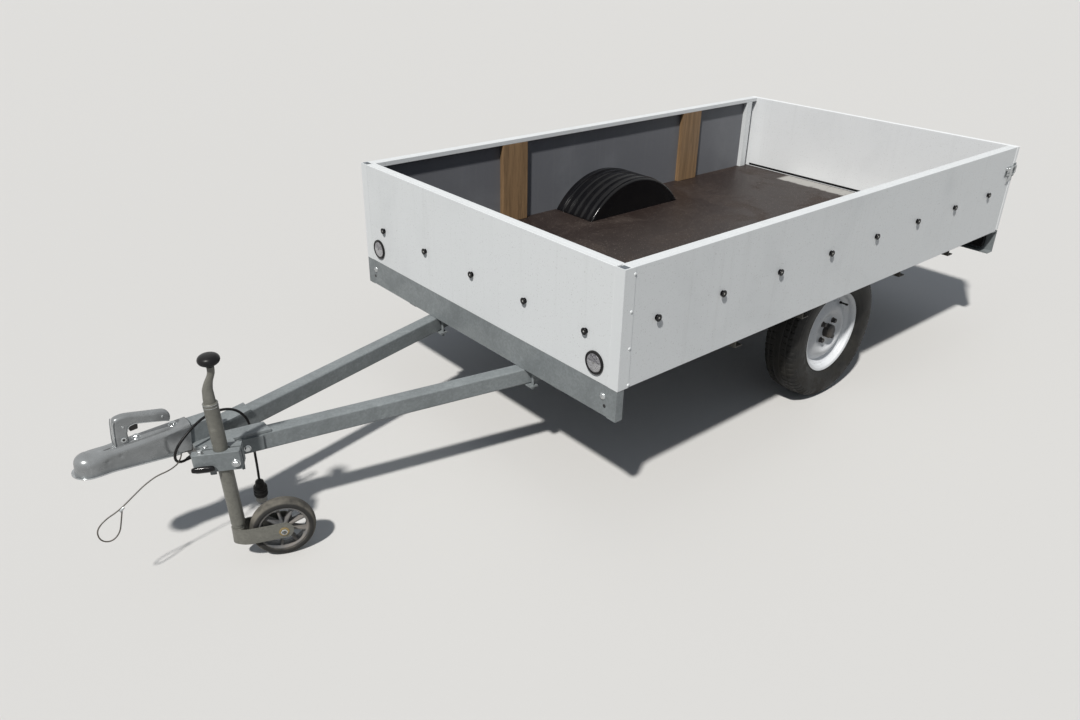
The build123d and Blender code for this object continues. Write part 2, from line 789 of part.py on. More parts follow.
with BuildPart() as jockey_fork:
    with BuildSketch(fork_plane):
        with BuildLine():
            strap_outline(fork_outer, fork_nose_half, fork_nose)
        make_face()
        with BuildLine():
            strap_outline(fork_inner_half, fork_nose_inner_half, fork_nose - fork_strap)
        make_face(mode=Mode.SUBTRACT)
    extrude(amount=fork_height)
    with BuildSketch(post_plane.offset(fork_bottom + boss_inset)):
        Circle(leg_radius)
    extrude(amount=fork_height - boss_inset)
    with BuildSketch(post_plane.offset(fork_top - boss_inset)):
        Circle(swivel_pin_radius)
    extrude(amount=boss_inset + swivel_pin_length)
    jockey_centre = wheel_ground + Vector(0, 0, jockey_wheel_radius)
    axle_plane = Plane(origin=jockey_centre, x_dir=-trail_dir, z_dir=side_dir)
    with BuildSketch(axle_plane):
        Circle(jockey_axle_radius)
    extrude(amount=fork_outer + axle_proud, both=True)
save(jockey_fork.part, "jockey_fork")

# Jockey wheel: a moulded rim with spokes, and a rubber tyre
spin_plane = Plane(origin=jockey_centre, x_dir=side_dir, z_dir=-trail_dir)
jockey_spin = Axis(jockey_centre, side_dir)
jockey_half = jockey_wheel_width / 2
small_seat = jockey_half - tyre_lip
tread_start = jockey_rim_radius + tyre_shoulder
with BuildPart() as jockey_tyre:
    with BuildSketch(spin_plane):
        with BuildLine():
            Polyline((-small_seat, jockey_rim_radius), (small_seat, jockey_rim_radius))
            Line((small_seat, jockey_rim_radius), (jockey_half, tread_start))
            ThreePointArc((jockey_half, tread_start), (0, jockey_wheel_radius), (-jockey_half, tread_start))
            Line((-jockey_half, tread_start), (-small_seat, jockey_rim_radius))
        make_face()
    revolve(axis=jockey_spin)
save(jockey_tyre.part, "jockey_tyre")

with BuildPart() as jockey_rim:
    with BuildSketch(axle_plane):
        Circle(jockey_rim_radius - seat_gap)
        Circle(jockey_rim_radius - jockey_rim_wall, mode=Mode.SUBTRACT)
        Circle(jockey_boss_radius)
        with PolarLocations((jockey_rim_radius + jockey_axle_radius) / 2, jockey_spokes):
            Rectangle(jockey_spoke_reach, jockey_spoke_width)
        Circle(jockey_axle_radius + spindle_clearance, mode=Mode.SUBTRACT)
    extrude(amount=jockey_half - jockey_rim_inset, both=True)
save(jockey_rim.part, "jockey_rim")

# Road wheels: tyre, dished steel rim and hub on each side
rim_half = rim_width / 2
bead_radius = rim_flange_radius - rim_bead_step
well_radius = bead_radius - rim_well_depth
half = tyre_width / 2
seat = bead_radius + seat_gap
bead = rim_half - rim_wall - seat_gap
shoulder = half - tread_inset
under_tread = shoulder - tread_inner_inset
tread_edge = tyre_radius - tread_crown
inner_tread = tyre_radius - tread_thickness
widest = tyre_radius - sidewall_place
inner_wall = half - tyre_wall
inner_bead = bead - tyre_wall
inner_flange = rim_flange_radius + bead_rise
disc_face = disc_offset + rim_wall
disc_rim = well_radius - rim_wall + disc_weld
hub_inner = disc_offset - seat_gap - hub_length
hub_rear_face = disc_offset - hub_flange_thickness
spindle_bore = spindle_radius + spindle_clearance
for name, side in sides:
    centre = Vector(axle_x, side * wheel_y, tyre_radius)
    wheel_plane = Plane(origin=centre, x_dir=(0, side, 0), z_dir=(side, 0, 0))
    spin = Axis(centre, (0, side, 0))
    disc_plane = Plane(origin=centre, x_dir=(-side, 0, 0), z_dir=(0, side, 0))

    with BuildPart() as tyre:
        with BuildSketch(wheel_plane):
            with BuildLine():
                Line((-bead, seat), (-bead, rim_flange_radius))
                ThreePointArc((-bead, rim_flange_radius), (-half, widest), (-shoulder, tread_edge))
                ThreePointArc((-shoulder, tread_edge), (0, tyre_radius), (shoulder, tread_edge))
                ThreePointArc((shoulder, tread_edge), (half, widest), (bead, rim_flange_radius))
                Polyline((bead, rim_flange_radius), (bead, seat), (bead - bead_width, seat))
                Line((bead - bead_width, seat), (inner_bead, inner_flange))
                ThreePointArc((inner_bead, inner_flange), (inner_wall, widest), (under_tread, inner_tread))
                Line((under_tread, inner_tread), (-under_tread, inner_tread))
                ThreePointArc((-under_tread, inner_tread), (-inner_wall, widest), (-inner_bead, inner_flange))
                Polyline((-inner_bead, inner_flange), (-bead + bead_width, seat), (-bead, seat))
            make_face()
        revolve(axis=spin)
    save(tyre.part, f"tyre_{name}")

    with BuildPart() as rim:
        with BuildSketch(wheel_plane):
            with BuildLine():
                Polyline(
                    (-rim_half, rim_flange_radius),
                    (-rim_half + rim_wall, rim_flange_radius),
                    (-rim_half + rim_wall, bead_radius),
                    (-well_inner, bead_radius),
                    (-well_inner + well_slope, well_radius),
                    (well_outer - well_slope, well_radius),
                    (well_outer, bead_radius),
                    (rim_half - rim_wall, bead_radius),
                    (rim_half - rim_wall, rim_flange_radius),
                    (rim_half, rim_flange_radius),
                    (rim_half, bead_radius - rim_wall),
                    (well_outer + well_shift, bead_radius - rim_wall),
                    (well_outer - well_slope + well_shift, well_radius - rim_wall),
                    (-well_inner + well_slope - well_shift, well_radius - rim_wall),
                    (-well_inner - well_shift, bead_radius - rim_wall),
                    (-rim_half, bead_radius - rim_wall),
                    close=True,
                )
            make_face()
            with BuildLine():
                Polyline(
                    (disc_face, disc_bore_radius),
                    *[(disc_face + out, radius) for out, radius in disc_outer_line],
                    (disc_face + disc_edge, disc_rim),
                    (disc_face + disc_edge - rim_wall, disc_rim),
                    *[(disc_face + out, radius) for out, radius in disc_inner_line],
                    (disc_offset, disc_bore_radius),
                    close=True,
                )
            make_face()
        revolve(axis=spin)
        with BuildSketch(disc_plane):
            with PolarLocations(stud_circle / 2, stud_count):
                Circle(stud_hole_radius)
        extrude(amount=rim_width, mode=Mode.SUBTRACT)
    save(rim.part, f"rim_{name}")

    with BuildPart() as hub:
        with BuildSketch(wheel_plane):
            with BuildLine():
                Polyline(
                    (hub_inner, spindle_bore),
                    (hub_inner, hub_body_radius),
                    (hub_rear_face, hub_body_radius),
                    (hub_rear_face, hub_flange_radius),
                    (disc_offset - seat_gap, hub_flange_radius),
                    (disc_offset - seat_gap, disc_bore_radius - seat_gap),
                    (disc_offset + hub_cap_reach - hub_cap_step, disc_bore_radius - seat_gap),
                    (disc_offset + hub_cap_reach, disc_bore_radius - hub_cap_edge),
                    (disc_offset + hub_cap_reach, 0),
                    (disc_offset + hub_cap_reach - hub_cap_wall, 0),
                    (disc_offset + hub_cap_reach - hub_cap_wall, spindle_bore),
                    close=True,
                )
            make_face()
        revolve(axis=spin)
    save(hub.part, f"hub_{name}")

    # Mudguard: a ribbed arch with a flat wall on the bed's side, open below and towards the board
    arch_origin = Vector(axle_x, side * (arch_inner_y + seat_gap), arch_centre_z)
    arch_plane = Plane(origin=arch_origin, x_dir=(-side, 0, 0), z_dir=(0, side, 0))
    arch_depth = inner_half - arch_inner_y - 2 * seat_gap
    spring_z = floor_top - arch_centre_z
    foot_z = bed_bottom - arch_centre_z
    with BuildPart() as mudguard:
        rib_first = arch_depth / 2 - (arch_rib_count - 1) / 2 * arch_rib_pitch
        arch_steps = [(0, arch_depth, arch_radius - arch_rib_height)]
        for rib in range(arch_rib_count):
            middle = rib_first + rib * arch_rib_pitch
            arch_steps.append((middle - arch_rib_width / 2, arch_rib_width, arch_radius))
        for start, depth, radius in arch_steps:
            half_arch = math.sqrt(radius**2 - spring_z**2) - seat_gap
            with BuildSketch(arch_plane.offset(start)):
                with BuildLine():
                    Line((-half_arch, foot_z), (-half_arch, spring_z))
                    ThreePointArc((-half_arch, spring_z), (0, radius), (half_arch, spring_z))
                    Polyline((half_arch, spring_z), (half_arch, foot_z), (-half_arch, foot_z))
                make_face()
            extrude(amount=depth)
        hollow_radius = arch_radius - arch_rib_height - arch_wall
        half_hollow = math.sqrt(hollow_radius**2 - spring_z**2)
        with BuildSketch(arch_plane.offset(arch_wall)):
            with BuildLine():
                Line((-half_hollow, foot_z - cut_margin), (-half_hollow, spring_z))
                ThreePointArc((-half_hollow, spring_z), (0, hollow_radius), (half_hollow, spring_z))
                cut_z = foot_z - cut_margin
                Polyline((half_hollow, spring_z), (half_hollow, cut_z), (-half_hollow, cut_z))
            make_face()
        extrude(amount=arch_depth, mode=Mode.SUBTRACT)
    save(mudguard.part, f"mudguard_{name}")

# Axle: a square tube under the side rails, with a bracket to each rail
bracket_top = bed_bottom - side_rail_height - seat_gap
pivot_x = axle_x + swing_arm_length
pivot_z = bracket_top - axle_bracket_height - axle_tube_side / 2
arm_outer_y = wheel_y - tyre_width / 2 - swing_arm_clearance
arm_inner_y = arm_outer_y - swing_arm_thickness
with BuildPart() as axle_tube:
    tube_half = arm_inner_y - seat_gap
    hollow = axle_tube_side / 2 - axle_tube_wall
    for half_side, mode in ((axle_tube_side / 2, Mode.ADD), (hollow, Mode.SUBTRACT)):
        tube_x = (pivot_x - half_side, pivot_x + half_side)
        block(*tube_x, -tube_half, tube_half, pivot_z - half_side, pivot_z + half_side, mode)
    for _, side in sides:
        bracket_y = (side * rail_inner_y, side * rail_outer_y)
        bracket_x = (pivot_x - axle_tube_side, pivot_x + axle_tube_side)
        block(*bracket_x, *bracket_y, bracket_top - axle_bracket_height, bracket_top)
save(axle_tube.part, "axle_tube")

# Swing arms: each carries a wheel's spindle, behind the axle tube
with BuildPart() as swing_arms:
    for _, side in sides:
        arm_origin = (axle_x, side * arm_inner_y, tyre_radius)
        arm_plane = Plane(origin=arm_origin, x_dir=(-side, 0, 0), z_dir=(0, side, 0))
        pivot = (-side * swing_arm_length, pivot_z - tyre_radius)
        with BuildSketch(arm_plane):
            Circle(swing_arm_eye)
            with Locations(pivot):
                Circle(swing_pivot_radius)
            with Locations((pivot[0] / 2, pivot[1] / 2)):
                arm_angle = math.degrees(math.atan2(pivot[1], pivot[0]))
                Rectangle(math.hypot(*pivot), swing_arm_width, rotation=arm_angle)
        extrude(amount=swing_arm_thickness)
        hub_face = wheel_y + hub_inner - arm_outer_y - seat_gap
        spindle_length = hub_face + hub_length + spindle_reach
        for radius, length in ((hub_boss_radius, hub_face), (spindle_radius, spindle_length)):
            with BuildSketch(arm_plane.offset(swing_arm_thickness)):
                Circle(radius)
            extrude(amount=length)
save(swing_arms.part, "swing_arms")

# Tailgate: one board across the whole rear, hinged along its foot
tailgate_low = bed_bottom + tailgate_bottom_gap
with BuildPart() as tailgate:
    block(rear_x, rear_x + tailgate_thickness, -half_width, half_width, tailgate_low, rim_height)
save(tailgate.part, "tailgate")

hinge_x = rear_x - hinge_stand_off
hinge_place = half_width - hinge_from_side
hinge_z = bed_bottom - hinge_axis_drop
knuckle_third = hinge_width / 3
knuckle_gap = 0.5
neck_gap = 2.0


def hinge_leaf_block(y_middle, z_end):
    """A flat hinge leaf against the trailer's rear face, from the hinge's axis to z_end."""
    leaf_y = (y_middle - hinge_width / 2, y_middle + hinge_width / 2)
    start = hinge_z + (hinge_leaf if z_end > hinge_z else -hinge_leaf)
    block(rear_x - hinge_leaf, rear_x, *leaf_y, start, z_end)


def knuckle(y0, y1, way, mode=Mode.ADD):
    """A hinge knuckle from y0 to y1, joined to the leaf above or below the axis."""
    with BuildSketch(Plane(origin=(hinge_x, y1, hinge_z), x_dir=(1, 0, 0), z_dir=(0, -1, 0))) as outline:
        Circle(hinge_knuckle_radius)
        with Locations((hinge_stand_off / 2, way * hinge_knuckle_radius / 2)):
            Rectangle(hinge_stand_off, hinge_knuckle_radius)
    extrude(outline.sketch, amount=y1 - y0, mode=mode)


def pin_cylinder(y0, y1, radius, mode):
    """The hinge pin, or the hole for it, from y0 to y1."""
    with BuildSketch(Plane(origin=(hinge_x, y1, hinge_z), x_dir=(1, 0, 0), z_dir=(0, -1, 0))) as outline:
        Circle(radius)
    extrude(outline.sketch, amount=y1 - y0, mode=mode)


with BuildPart() as tailgate_hinges:
    for _, side in sides:
        middle = side * hinge_place
        hinge_leaf_block(middle, hinge_z - hinge_leaf_length)
        for end in (-1, 1):
            far = middle + end * hinge_width / 2
            near = middle + end * knuckle_third / 2
            knuckle(min(far, near), max(far, near), -1)
        pin_cylinder(middle - hinge_width / 2, middle + hinge_width / 2, hinge_pin_radius, Mode.ADD)
save(tailgate_hinges.part, "tailgate_hinges")

catch_width = 40.0
catch_height = 60.0
catch_drop = 105.0
catch_wall = 3.0
with BuildPart() as tailgate_fittings:
    for _, side in sides:
        middle = side * hinge_place
        leaf_half = knuckle_third / 2 - knuckle_gap
        knuckle(middle - leaf_half, middle + leaf_half, 1)
        leaf_y = (middle - hinge_width / 2, middle + hinge_width / 2)
        neck_top = hinge_z + hinge_knuckle_radius + neck_gap
        block(rear_x - hinge_leaf, rear_x, *leaf_y, neck_top, hinge_z + hinge_leaf_length)
        neck_y = (middle - leaf_half, middle + leaf_half)
        block(rear_x - hinge_leaf, rear_x, *neck_y, hinge_z, neck_top)
        pin_cylinder(*neck_y, hinge_pin_radius + spindle_clearance, Mode.SUBTRACT)
        catch_z = (rim_height - catch_drop - catch_height / 2, rim_height - catch_drop + catch_height / 2)
        outer_y = side * (half_width + catch_wall)
        block(rear_x - catch_wall, rear_x, side * (half_width - catch_width), outer_y, *catch_z)
        block(rear_x - catch_wall, rear_x + tailgate_thickness, side * half_width, outer_y, *catch_z)
save(tailgate_fittings.part, "tailgate_fittings")

# Tailgate seal: a rubber strip between the floor's rear edge and the tailgate
with BuildPart() as tailgate_seal:
    seal_x = (board_rear_x, board_rear_x + seal_width)
    block(*seal_x, -inner_half + seat_gap, inner_half - seat_gap, bed_bottom, floor_top - seal_drop)
save(tailgate_seal.part, "tailgate_seal")

# Side latches: a plate and a hanging lever near the rear of each side board
latch_depth = 4.0
latch_gap = 2.0
latch_length = 65.0
latch_height = 44.0
handle_width = 24.0
handle_depth = 10.0
handle_hang = 48.0
latch_z = rim_height - catch_drop
with BuildPart() as side_latches:
    for _, side in sides:
        plate_x = (board_rear_x + latch_gap, board_rear_x + latch_gap + latch_length)
        plate_z = (latch_z - latch_height / 2, latch_z + latch_height / 2)
        block(*plate_x, side * half_width, side * (half_width + latch_depth), *plate_z)
        handle_x = (board_rear_x + latch_length / 3, board_rear_x + latch_length / 3 + handle_width)
        handle_z = (latch_z - handle_hang, latch_z + latch_height / 2)
        handle_y = (side * (half_width + latch_depth), side * (half_width + latch_depth + handle_depth))
        block(*handle_x, *handle_y, *handle_z)
save(side_latches.part, "side_latches")

# Front reflectors: a cup and a lens on each side of the front board
cup_depth = 8.0
cup_floor = 4.0
lens_depth = 5.0
reflector_y = half_width - reflector_from_side
reflector_z = rim_height - reflector_drop
with BuildPart() as reflector_cups:
    for _, side in sides:
        cup_plane = Plane(origin=(front_x, side * reflector_y, reflector_z), x_dir=(0, 1, 0), z_dir=(1, 0, 0))
        with BuildSketch(cup_plane):
            Circle(reflector_radius)
        extrude(amount=cup_depth)
        with BuildSketch(cup_plane.offset(cup_floor)):
            Circle(reflector_lens_radius + seat_gap)
        extrude(amount=cup_depth, mode=Mode.SUBTRACT)
save(reflector_cups.part, "reflector_cups")

with BuildPart() as reflector_lenses:
    for _, side in sides:
        lens_origin = (front_x + cup_floor, side * reflector_y, reflector_z)
        with BuildSketch(Plane(origin=lens_origin, x_dir=(0, 1, 0), z_dir=(1, 0, 0))):
            Circle(reflector_lens_radius)
        extrude(amount=lens_depth)
save(reflector_lenses.part, "reflector_lenses")

# Cover knobs: buttons along the sides and the front that a cover is tied to
side_knob_pitch = (bed_length - side_knob_first - side_knob_last) / (side_knob_count - 1)
with BuildPart() as cover_knobs:
    for _, side in sides:
        for place in range(side_knob_count):
            knob_x = front_x - side_knob_first - place * side_knob_pitch
            knob_origin = (knob_x, side * half_width, rim_height - side_knob_drop)
            with BuildSketch(Plane(origin=knob_origin, x_dir=(1, 0, 0), z_dir=(0, side, 0))):
                Circle(knob_disc_radius)
            extrude(amount=knob_disc_depth, taper=knob_disc_taper)
    for place in range(front_knob_count):
        knob_y = (place - (front_knob_count - 1) / 2) * bed_width / front_knob_count
        knob_origin = (front_x, knob_y, rim_height - front_knob_drop)
        with BuildSketch(Plane(origin=knob_origin, x_dir=(0, 1, 0), z_dir=(1, 0, 0))):
            Circle(knob_disc_radius)
        extrude(amount=knob_disc_depth, taper=knob_disc_taper)
save(cover_knobs.part, "cover_knobs")

# Rear lamps: housings through the crossmember's windows, with a lens on each
with BuildPart() as lamp_housings:
    for _, side in sides:
        housing_half = lamp_width / 2 - seat_gap
        housing_y = (side * (lamp_y - housing_half), side * (lamp_y + housing_half))
        housing_z = (lamp_z - lamp_height / 2 + seat_gap, lamp_z + lamp_height / 2 - seat_gap)
        block(rear_x - lamp_outside, rear_x + lamp_inside, *housing_y, *housing_z)
save(lamp_housings.part, "lamp_housings")

lens_margin = 5.0
with BuildPart() as lamp_lenses:
    for _, side in sides:
        lens_half = lamp_width / 2 - lens_margin
        lens_y = (side * (lamp_y - lens_half), side * (lamp_y + lens_half))
        lens_z = (lamp_z - lamp_height / 2 + lens_margin, lamp_z + lamp_height / 2 - lens_margin)
        block(rear_x - lens_outside, rear_x - lamp_outside, *lens_y, *lens_z)
save(lamp_lenses.part, "lamp_lenses")

triangle_y = half_width - triangle_from_side
triangle_z = lamp_z - triangle_depth
with BuildPart() as rear_triangles:
    for _, side in sides:
        triangle_origin = (rear_x, side * triangle_y, triangle_z)
        with BuildSketch(Plane(origin=triangle_origin, x_dir=(0, -1, 0), z_dir=(-1, 0, 0))):
            RegularPolygon(triangle_side / math.sqrt(3), 3, rotation=90)
        extrude(amount=triangle_depth)
save(rear_triangles.part, "rear_triangles")

# Supply cable: leaves the left drawbar tube's end, loops back over the head and hangs down to its plug
# Each route point is (ahead of the bed's front face, left, below the rim)
cable_radius = 4.1
cable_route = (
    (1060, 30, 566),
    (1072, 30, 566),
    (1100, 38, 570),
    (1122, 54, 552),
    (1127, 69, 518),
    (1110, 74, 484),
    (1065, 66, 452),
    (1017, 46, 439),
    (963, 30, 441),
    (914, 20, 463),
    (883, 18, 506),
    (870, 4, 568),
    (859, -32, 662),
    (849, -56, 746),
    (847, -64, 801),
)
wire_radius = 2.0
wire_route = (
    (1100, 39.45, 542.4),
    (1114, 64, 551),
    (1150, 74, 560),
    (1188, 75, 562),
    (1226, 77, 577),
    (1262, 79, 599),
    (1306, 78, 629),
    (1346, 79, 641),
    (1375, 82, 664),
    (1372, 85, 700),
    (1345, 86, 716),
    (1318, 83, 700),
    (1306, 80, 662),
    (1297, 79.5, 627),
)


def route_points(route):
    """A cord's route as points in the part's frame."""
    return [Vector(front_x + ahead, left, rim_height - drop) for ahead, left, drop in route]


def bend_radii(points):
    """The largest bends that leave a short straight between each two corners."""
    radii = []
    for before, at, after in zip(points, points[1:], points[2:]):
        turn = (at - before).get_angle(after - at)
        shorter = min((at - before).length, (after - at).length)
        radii.append(0.45 * shorter / math.tan(math.radians(turn) / 2))
    return radii


for label, route, radius in (
    ("supply_cable", cable_route, cable_radius),
    ("safety_wire", wire_route, wire_radius),
):
    points = route_points(route)
    radii = bend_radii(points)
    with BuildPart() as cord:
        with BuildLine() as cord_path:
            FilletPolyline(*points, radius=radii)
        with BuildSketch(Plane(origin=points[0], z_dir=points[1] - points[0])):
            Circle(radius)
        sweep()
    path_length = sum(edge.length for edge in cord_path.line.edges())
    expected = path_length * math.pi * radius**2
    print(label, "smallest bend", round(min(radii), 1), "length", round(path_length, 1))
    print(label, "volume over section times length", round(cord.part.volume / expected, 4))
    save(cord.part, label)

# Supply plug: a cable gland, a round body with a hinged lug, and its mating end
plug_top = route_points(cable_route)[-1]
plug_dir = (plug_top - route_points(cable_route)[-2]).normalized()
plug_plane = Plane(origin=plug_top + plug_dir * seat_gap, x_dir=(0, 1, 0), z_dir=plug_dir)
plug_sections = (
    (0, 9),
    (4, 14),
    (24, 16),
    (28, 23),
    (66, 23),
    (66, 19),
    (92, 19),
)
with BuildPart() as supply_plug:
    with BuildSketch(Plane(origin=plug_plane.origin, x_dir=plug_plane.x_dir, z_dir=plug_plane.y_dir)):
        with BuildLine():
            plug_side = [(radius, -down) for down, radius in plug_sections]
            Polyline((0, 0), *plug_side, (0, -plug_sections[-1][0]), close=True)
        make_face()
    revolve(axis=Axis(plug_plane.origin, plug_plane.z_dir))
save(supply_plug.part, "supply_plug")
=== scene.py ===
# %% [markdown]
# # A single axle car trailer, dressed from its solid model
#
# The solid model gives every size and every moving body. This lesson loads it as a frame, puts the camera
# where the photographer stood, and then dresses each group of parts: cords, boards, wheels, drawbar and
# fittings. Shapes are whole arrays of points, because a formula over a grid is short, exact and easy to
# change.

# %% Load the frame
import math

import bmesh
import bpy
import numpy as np
from mathutils import Matrix, Vector


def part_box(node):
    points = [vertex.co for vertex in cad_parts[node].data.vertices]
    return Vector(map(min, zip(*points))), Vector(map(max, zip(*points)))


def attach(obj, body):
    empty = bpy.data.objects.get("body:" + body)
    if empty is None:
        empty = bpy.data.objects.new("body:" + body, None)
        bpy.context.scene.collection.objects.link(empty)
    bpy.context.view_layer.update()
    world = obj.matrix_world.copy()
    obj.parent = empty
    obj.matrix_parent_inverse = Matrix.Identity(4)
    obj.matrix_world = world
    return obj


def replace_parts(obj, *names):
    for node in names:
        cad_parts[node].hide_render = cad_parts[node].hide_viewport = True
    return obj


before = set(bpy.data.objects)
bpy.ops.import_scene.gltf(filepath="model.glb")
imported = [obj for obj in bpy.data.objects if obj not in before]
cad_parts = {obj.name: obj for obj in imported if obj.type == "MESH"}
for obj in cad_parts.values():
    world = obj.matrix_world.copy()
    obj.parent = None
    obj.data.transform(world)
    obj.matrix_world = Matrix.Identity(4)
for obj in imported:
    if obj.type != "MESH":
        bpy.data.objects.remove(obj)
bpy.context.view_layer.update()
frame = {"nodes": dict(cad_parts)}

nodes, scene = frame["nodes"], bpy.context.scene
sides = (1, -1)

# %% [markdown]
# ## The camera
#
# The eye point, the directions and the focal length come from lining up the bed's edges and knobs with the
# photograph. The camera's three axes are written straight into its matrix, which keeps the small roll that
# a hand-held camera has. A look-at helper would be shorter, but it would lose that roll.


# %% Camera
def added(name, data):
    """A new object in the scene."""
    thing = bpy.data.objects.new(name, data)
    scene.collection.objects.link(thing)
    return thing


eye = np.array([2.28212, 2.36015, 1.80364])
yaw, pitch, roll = 4.00419868, 0.474236589, 0.0193917616
forward = np.array([math.cos(pitch) * math.cos(yaw), math.cos(pitch) * math.sin(yaw), -math.sin(pitch)])
level_right = np.cross(forward, [0.0, 0.0, 1.0])
level_right /= np.linalg.norm(level_right)
level_up = np.cross(level_right, forward)
right = math.cos(roll) * level_right + math.sin(roll) * level_up
up = math.cos(roll) * level_up - math.sin(roll) * level_right
camera_matrix = np.eye(4)
camera_matrix[:3] = np.column_stack([right, up, -forward, eye])
camera = added("camera", bpy.data.cameras.new("camera"))
camera.data.lens, camera.data.sensor_width = 28.85, 36.0
camera.matrix_world = Matrix(camera_matrix.tolist())
scene.camera = camera
print("camera at", eye.round(2), "with a lens of", camera.data.lens, "mm")

# %% [markdown]
# ## Surfaces from arrays
#
# A few small functions make every new shape. A grid joins a sheet of points with four-cornered faces. A
# lathe turns a profile about an axis, a prism gives a flat outline some depth, and a sweep carries an
# outline along a path. Corners are eased with short curves, and a spline through chosen points gives longer
# ones. The last function joins such surfaces into one named object, closes their seams and turns their
# faces outwards.


# %% Surface tools
def mm(*rows):
    """Rows of lengths that are written in millimetres, as metres."""
    return np.array(rows) / 1000


def unit(v):
    """Vectors of length one, along the last axis."""
    v = np.asarray(v, float)
    return v / np.linalg.norm(v, axis=-1, keepdims=True)


def square_to(direction):
    """Two unit directions square to the given one, and that one."""
    d = unit(direction)
    hint = np.array([0.0, 0.0, 1.0]) if abs(d[2]) < 0.9 else np.array([1.0, 0.0, 0.0])
    a = unit(np.cross(hint, d))
    return a, np.cross(d, a), d


def grid(points, round_u=False, round_v=False):
    """Rows and columns of points become faces with four corners; a round direction closes on itself."""
    index = np.arange(points.shape[0] * points.shape[1]).reshape(points.shape[:2])
    if round_u:
        index = np.vstack([index, index[:1]])
    if round_v:
        index = np.hstack([index, index[:, :1]])
    faces = np.stack([index[:-1, :-1], index[1:, :-1], index[1:, 1:], index[:-1, 1:]], -1)
    return points.reshape(-1, 3), faces.reshape(-1, 4).tolist()


def capped(points):
    """Rows of closed outlines become a solid with a face over each end."""
    where, faces = grid(points, round_v=True)
    k = points.shape[1]
    return where, faces + [list(range(k))[::-1], list(range(len(where) - k, len(where)))]


def lathe(profile, origin, direction, steps=48, ring=False):
    """Each (height, radius) gives a circle about the axis: origin + h·d + r·(cos t·a + sin t·b)."""
    line = np.asarray(profile, float)
    a, b, d = square_to(direction)
    t = np.linspace(0, 2 * np.pi, steps, endpoint=False)[:, None]
    round_axis = np.cos(t) * a + np.sin(t) * b
    points = np.asarray(origin, float) + line[:, :1, None] * d + line[:, 1:, None] * round_axis[None]
    return grid(points, round_u=ring, round_v=True)


def prism(outline, origin, across, upward, depth):
    """A flat outline from the origin in two directions, given depth along the direction square to both."""
    line, across, upward = np.asarray(outline, float), unit(across), unit(upward)
    near = np.asarray(origin, float) + line[:, :1] * across + line[:, 1:] * upward
    far = near + depth * np.cross(across, upward)
    k = len(line)
    walls = [[i, (i + 1) % k, (i + 1) % k + k, i + k] for i in range(k)]
    return np.vstack([near, far]), walls + [list(range(k))[::-1], list(range(k, 2 * k))]


def block(low, high):
    """A block between two corners, as a prism of its own rectangle."""
    low, high = np.minimum(low, high), np.maximum(low, high)
    w, d, h = high - low
    return prism([(0, 0), (w, 0), (w, d), (0, d)], low, (1, 0, 0), (0, 1, 0), h)


def corners(node):
    """The lowest and highest corner of a solid of the frame."""
    return [np.array(c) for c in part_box(node)]


def rectangle(low, high):
    """The outline of a rectangle between two corners, from its lowest corner round."""
    (x0, y0), (x1, y1) = low, high
    return np.array([(x0, y0), (x1, y0), (x1, y1), (x0, y1)])


def eased(outline, reach, steps=6):
    """Every corner becomes the curve (1-t)²·start + 2t(1-t)·corner + t²·end, begun a reach before it."""
    corner = np.asarray(outline, float)
    to_last, to_next = unit(np.roll(corner, 1, 0) - corner), unit(np.roll(corner, -1, 0) - corner)
    t = np.linspace(0, 1, steps)[None, :, None]
    start, end = (corner + to_last * reach)[:, None], (corner + to_next * reach)[:, None]
    curve = (1 - t) ** 2 * start + 2 * t * (1 - t) * corner[:, None] + t**2 * end
    return curve.reshape(-1, corner.shape[1])


def spline(points, steps):
    """A smooth curve through every point. Its slope at a point is half the step between the neighbours."""
    p = np.asarray(points, float)
    p = np.vstack([2 * p[0] - p[1], p, 2 * p[-1] - p[-2]])
    t = np.linspace(0, 1, steps, endpoint=False)[None, :, None]
    a, b, c, d = (p[i : len(p) - 3 + i, None] for i in range(4))
    square, cube = 2 * a - 5 * b + 4 * c - d, 3 * b - a - 3 * c + d
    curve = 0.5 * (2 * b + (c - a) * t + square * t**2 + cube * t**3)
    return np.vstack([curve.reshape(-1, p.shape[1]), p[-2:-1]])


def sweep(outline, path, hint):
    """A closed outline carried along a path. Its first direction is square to the path and to the hint."""
    line, path = np.asarray(outline, float), np.asarray(path, float)
    along = unit(np.gradient(path, axis=0))
    a = unit(np.cross(hint, along))
    b = np.cross(along, a)
    if line.ndim == 2:
        line = np.repeat(line[None], len(path), 0)
    return capped(path[:, None] + line[..., :1] * a[:, None] + line[..., 1:] * b[:, None])


def circle(radius, steps=24):
    """A round outline: (r·cos t, r·sin t)."""
    t = np.linspace(0, 2 * np.pi, steps, endpoint=False)
    return radius * np.column_stack([np.cos(t), np.sin(t)])


merge_distance = 2e-6
looks = {}


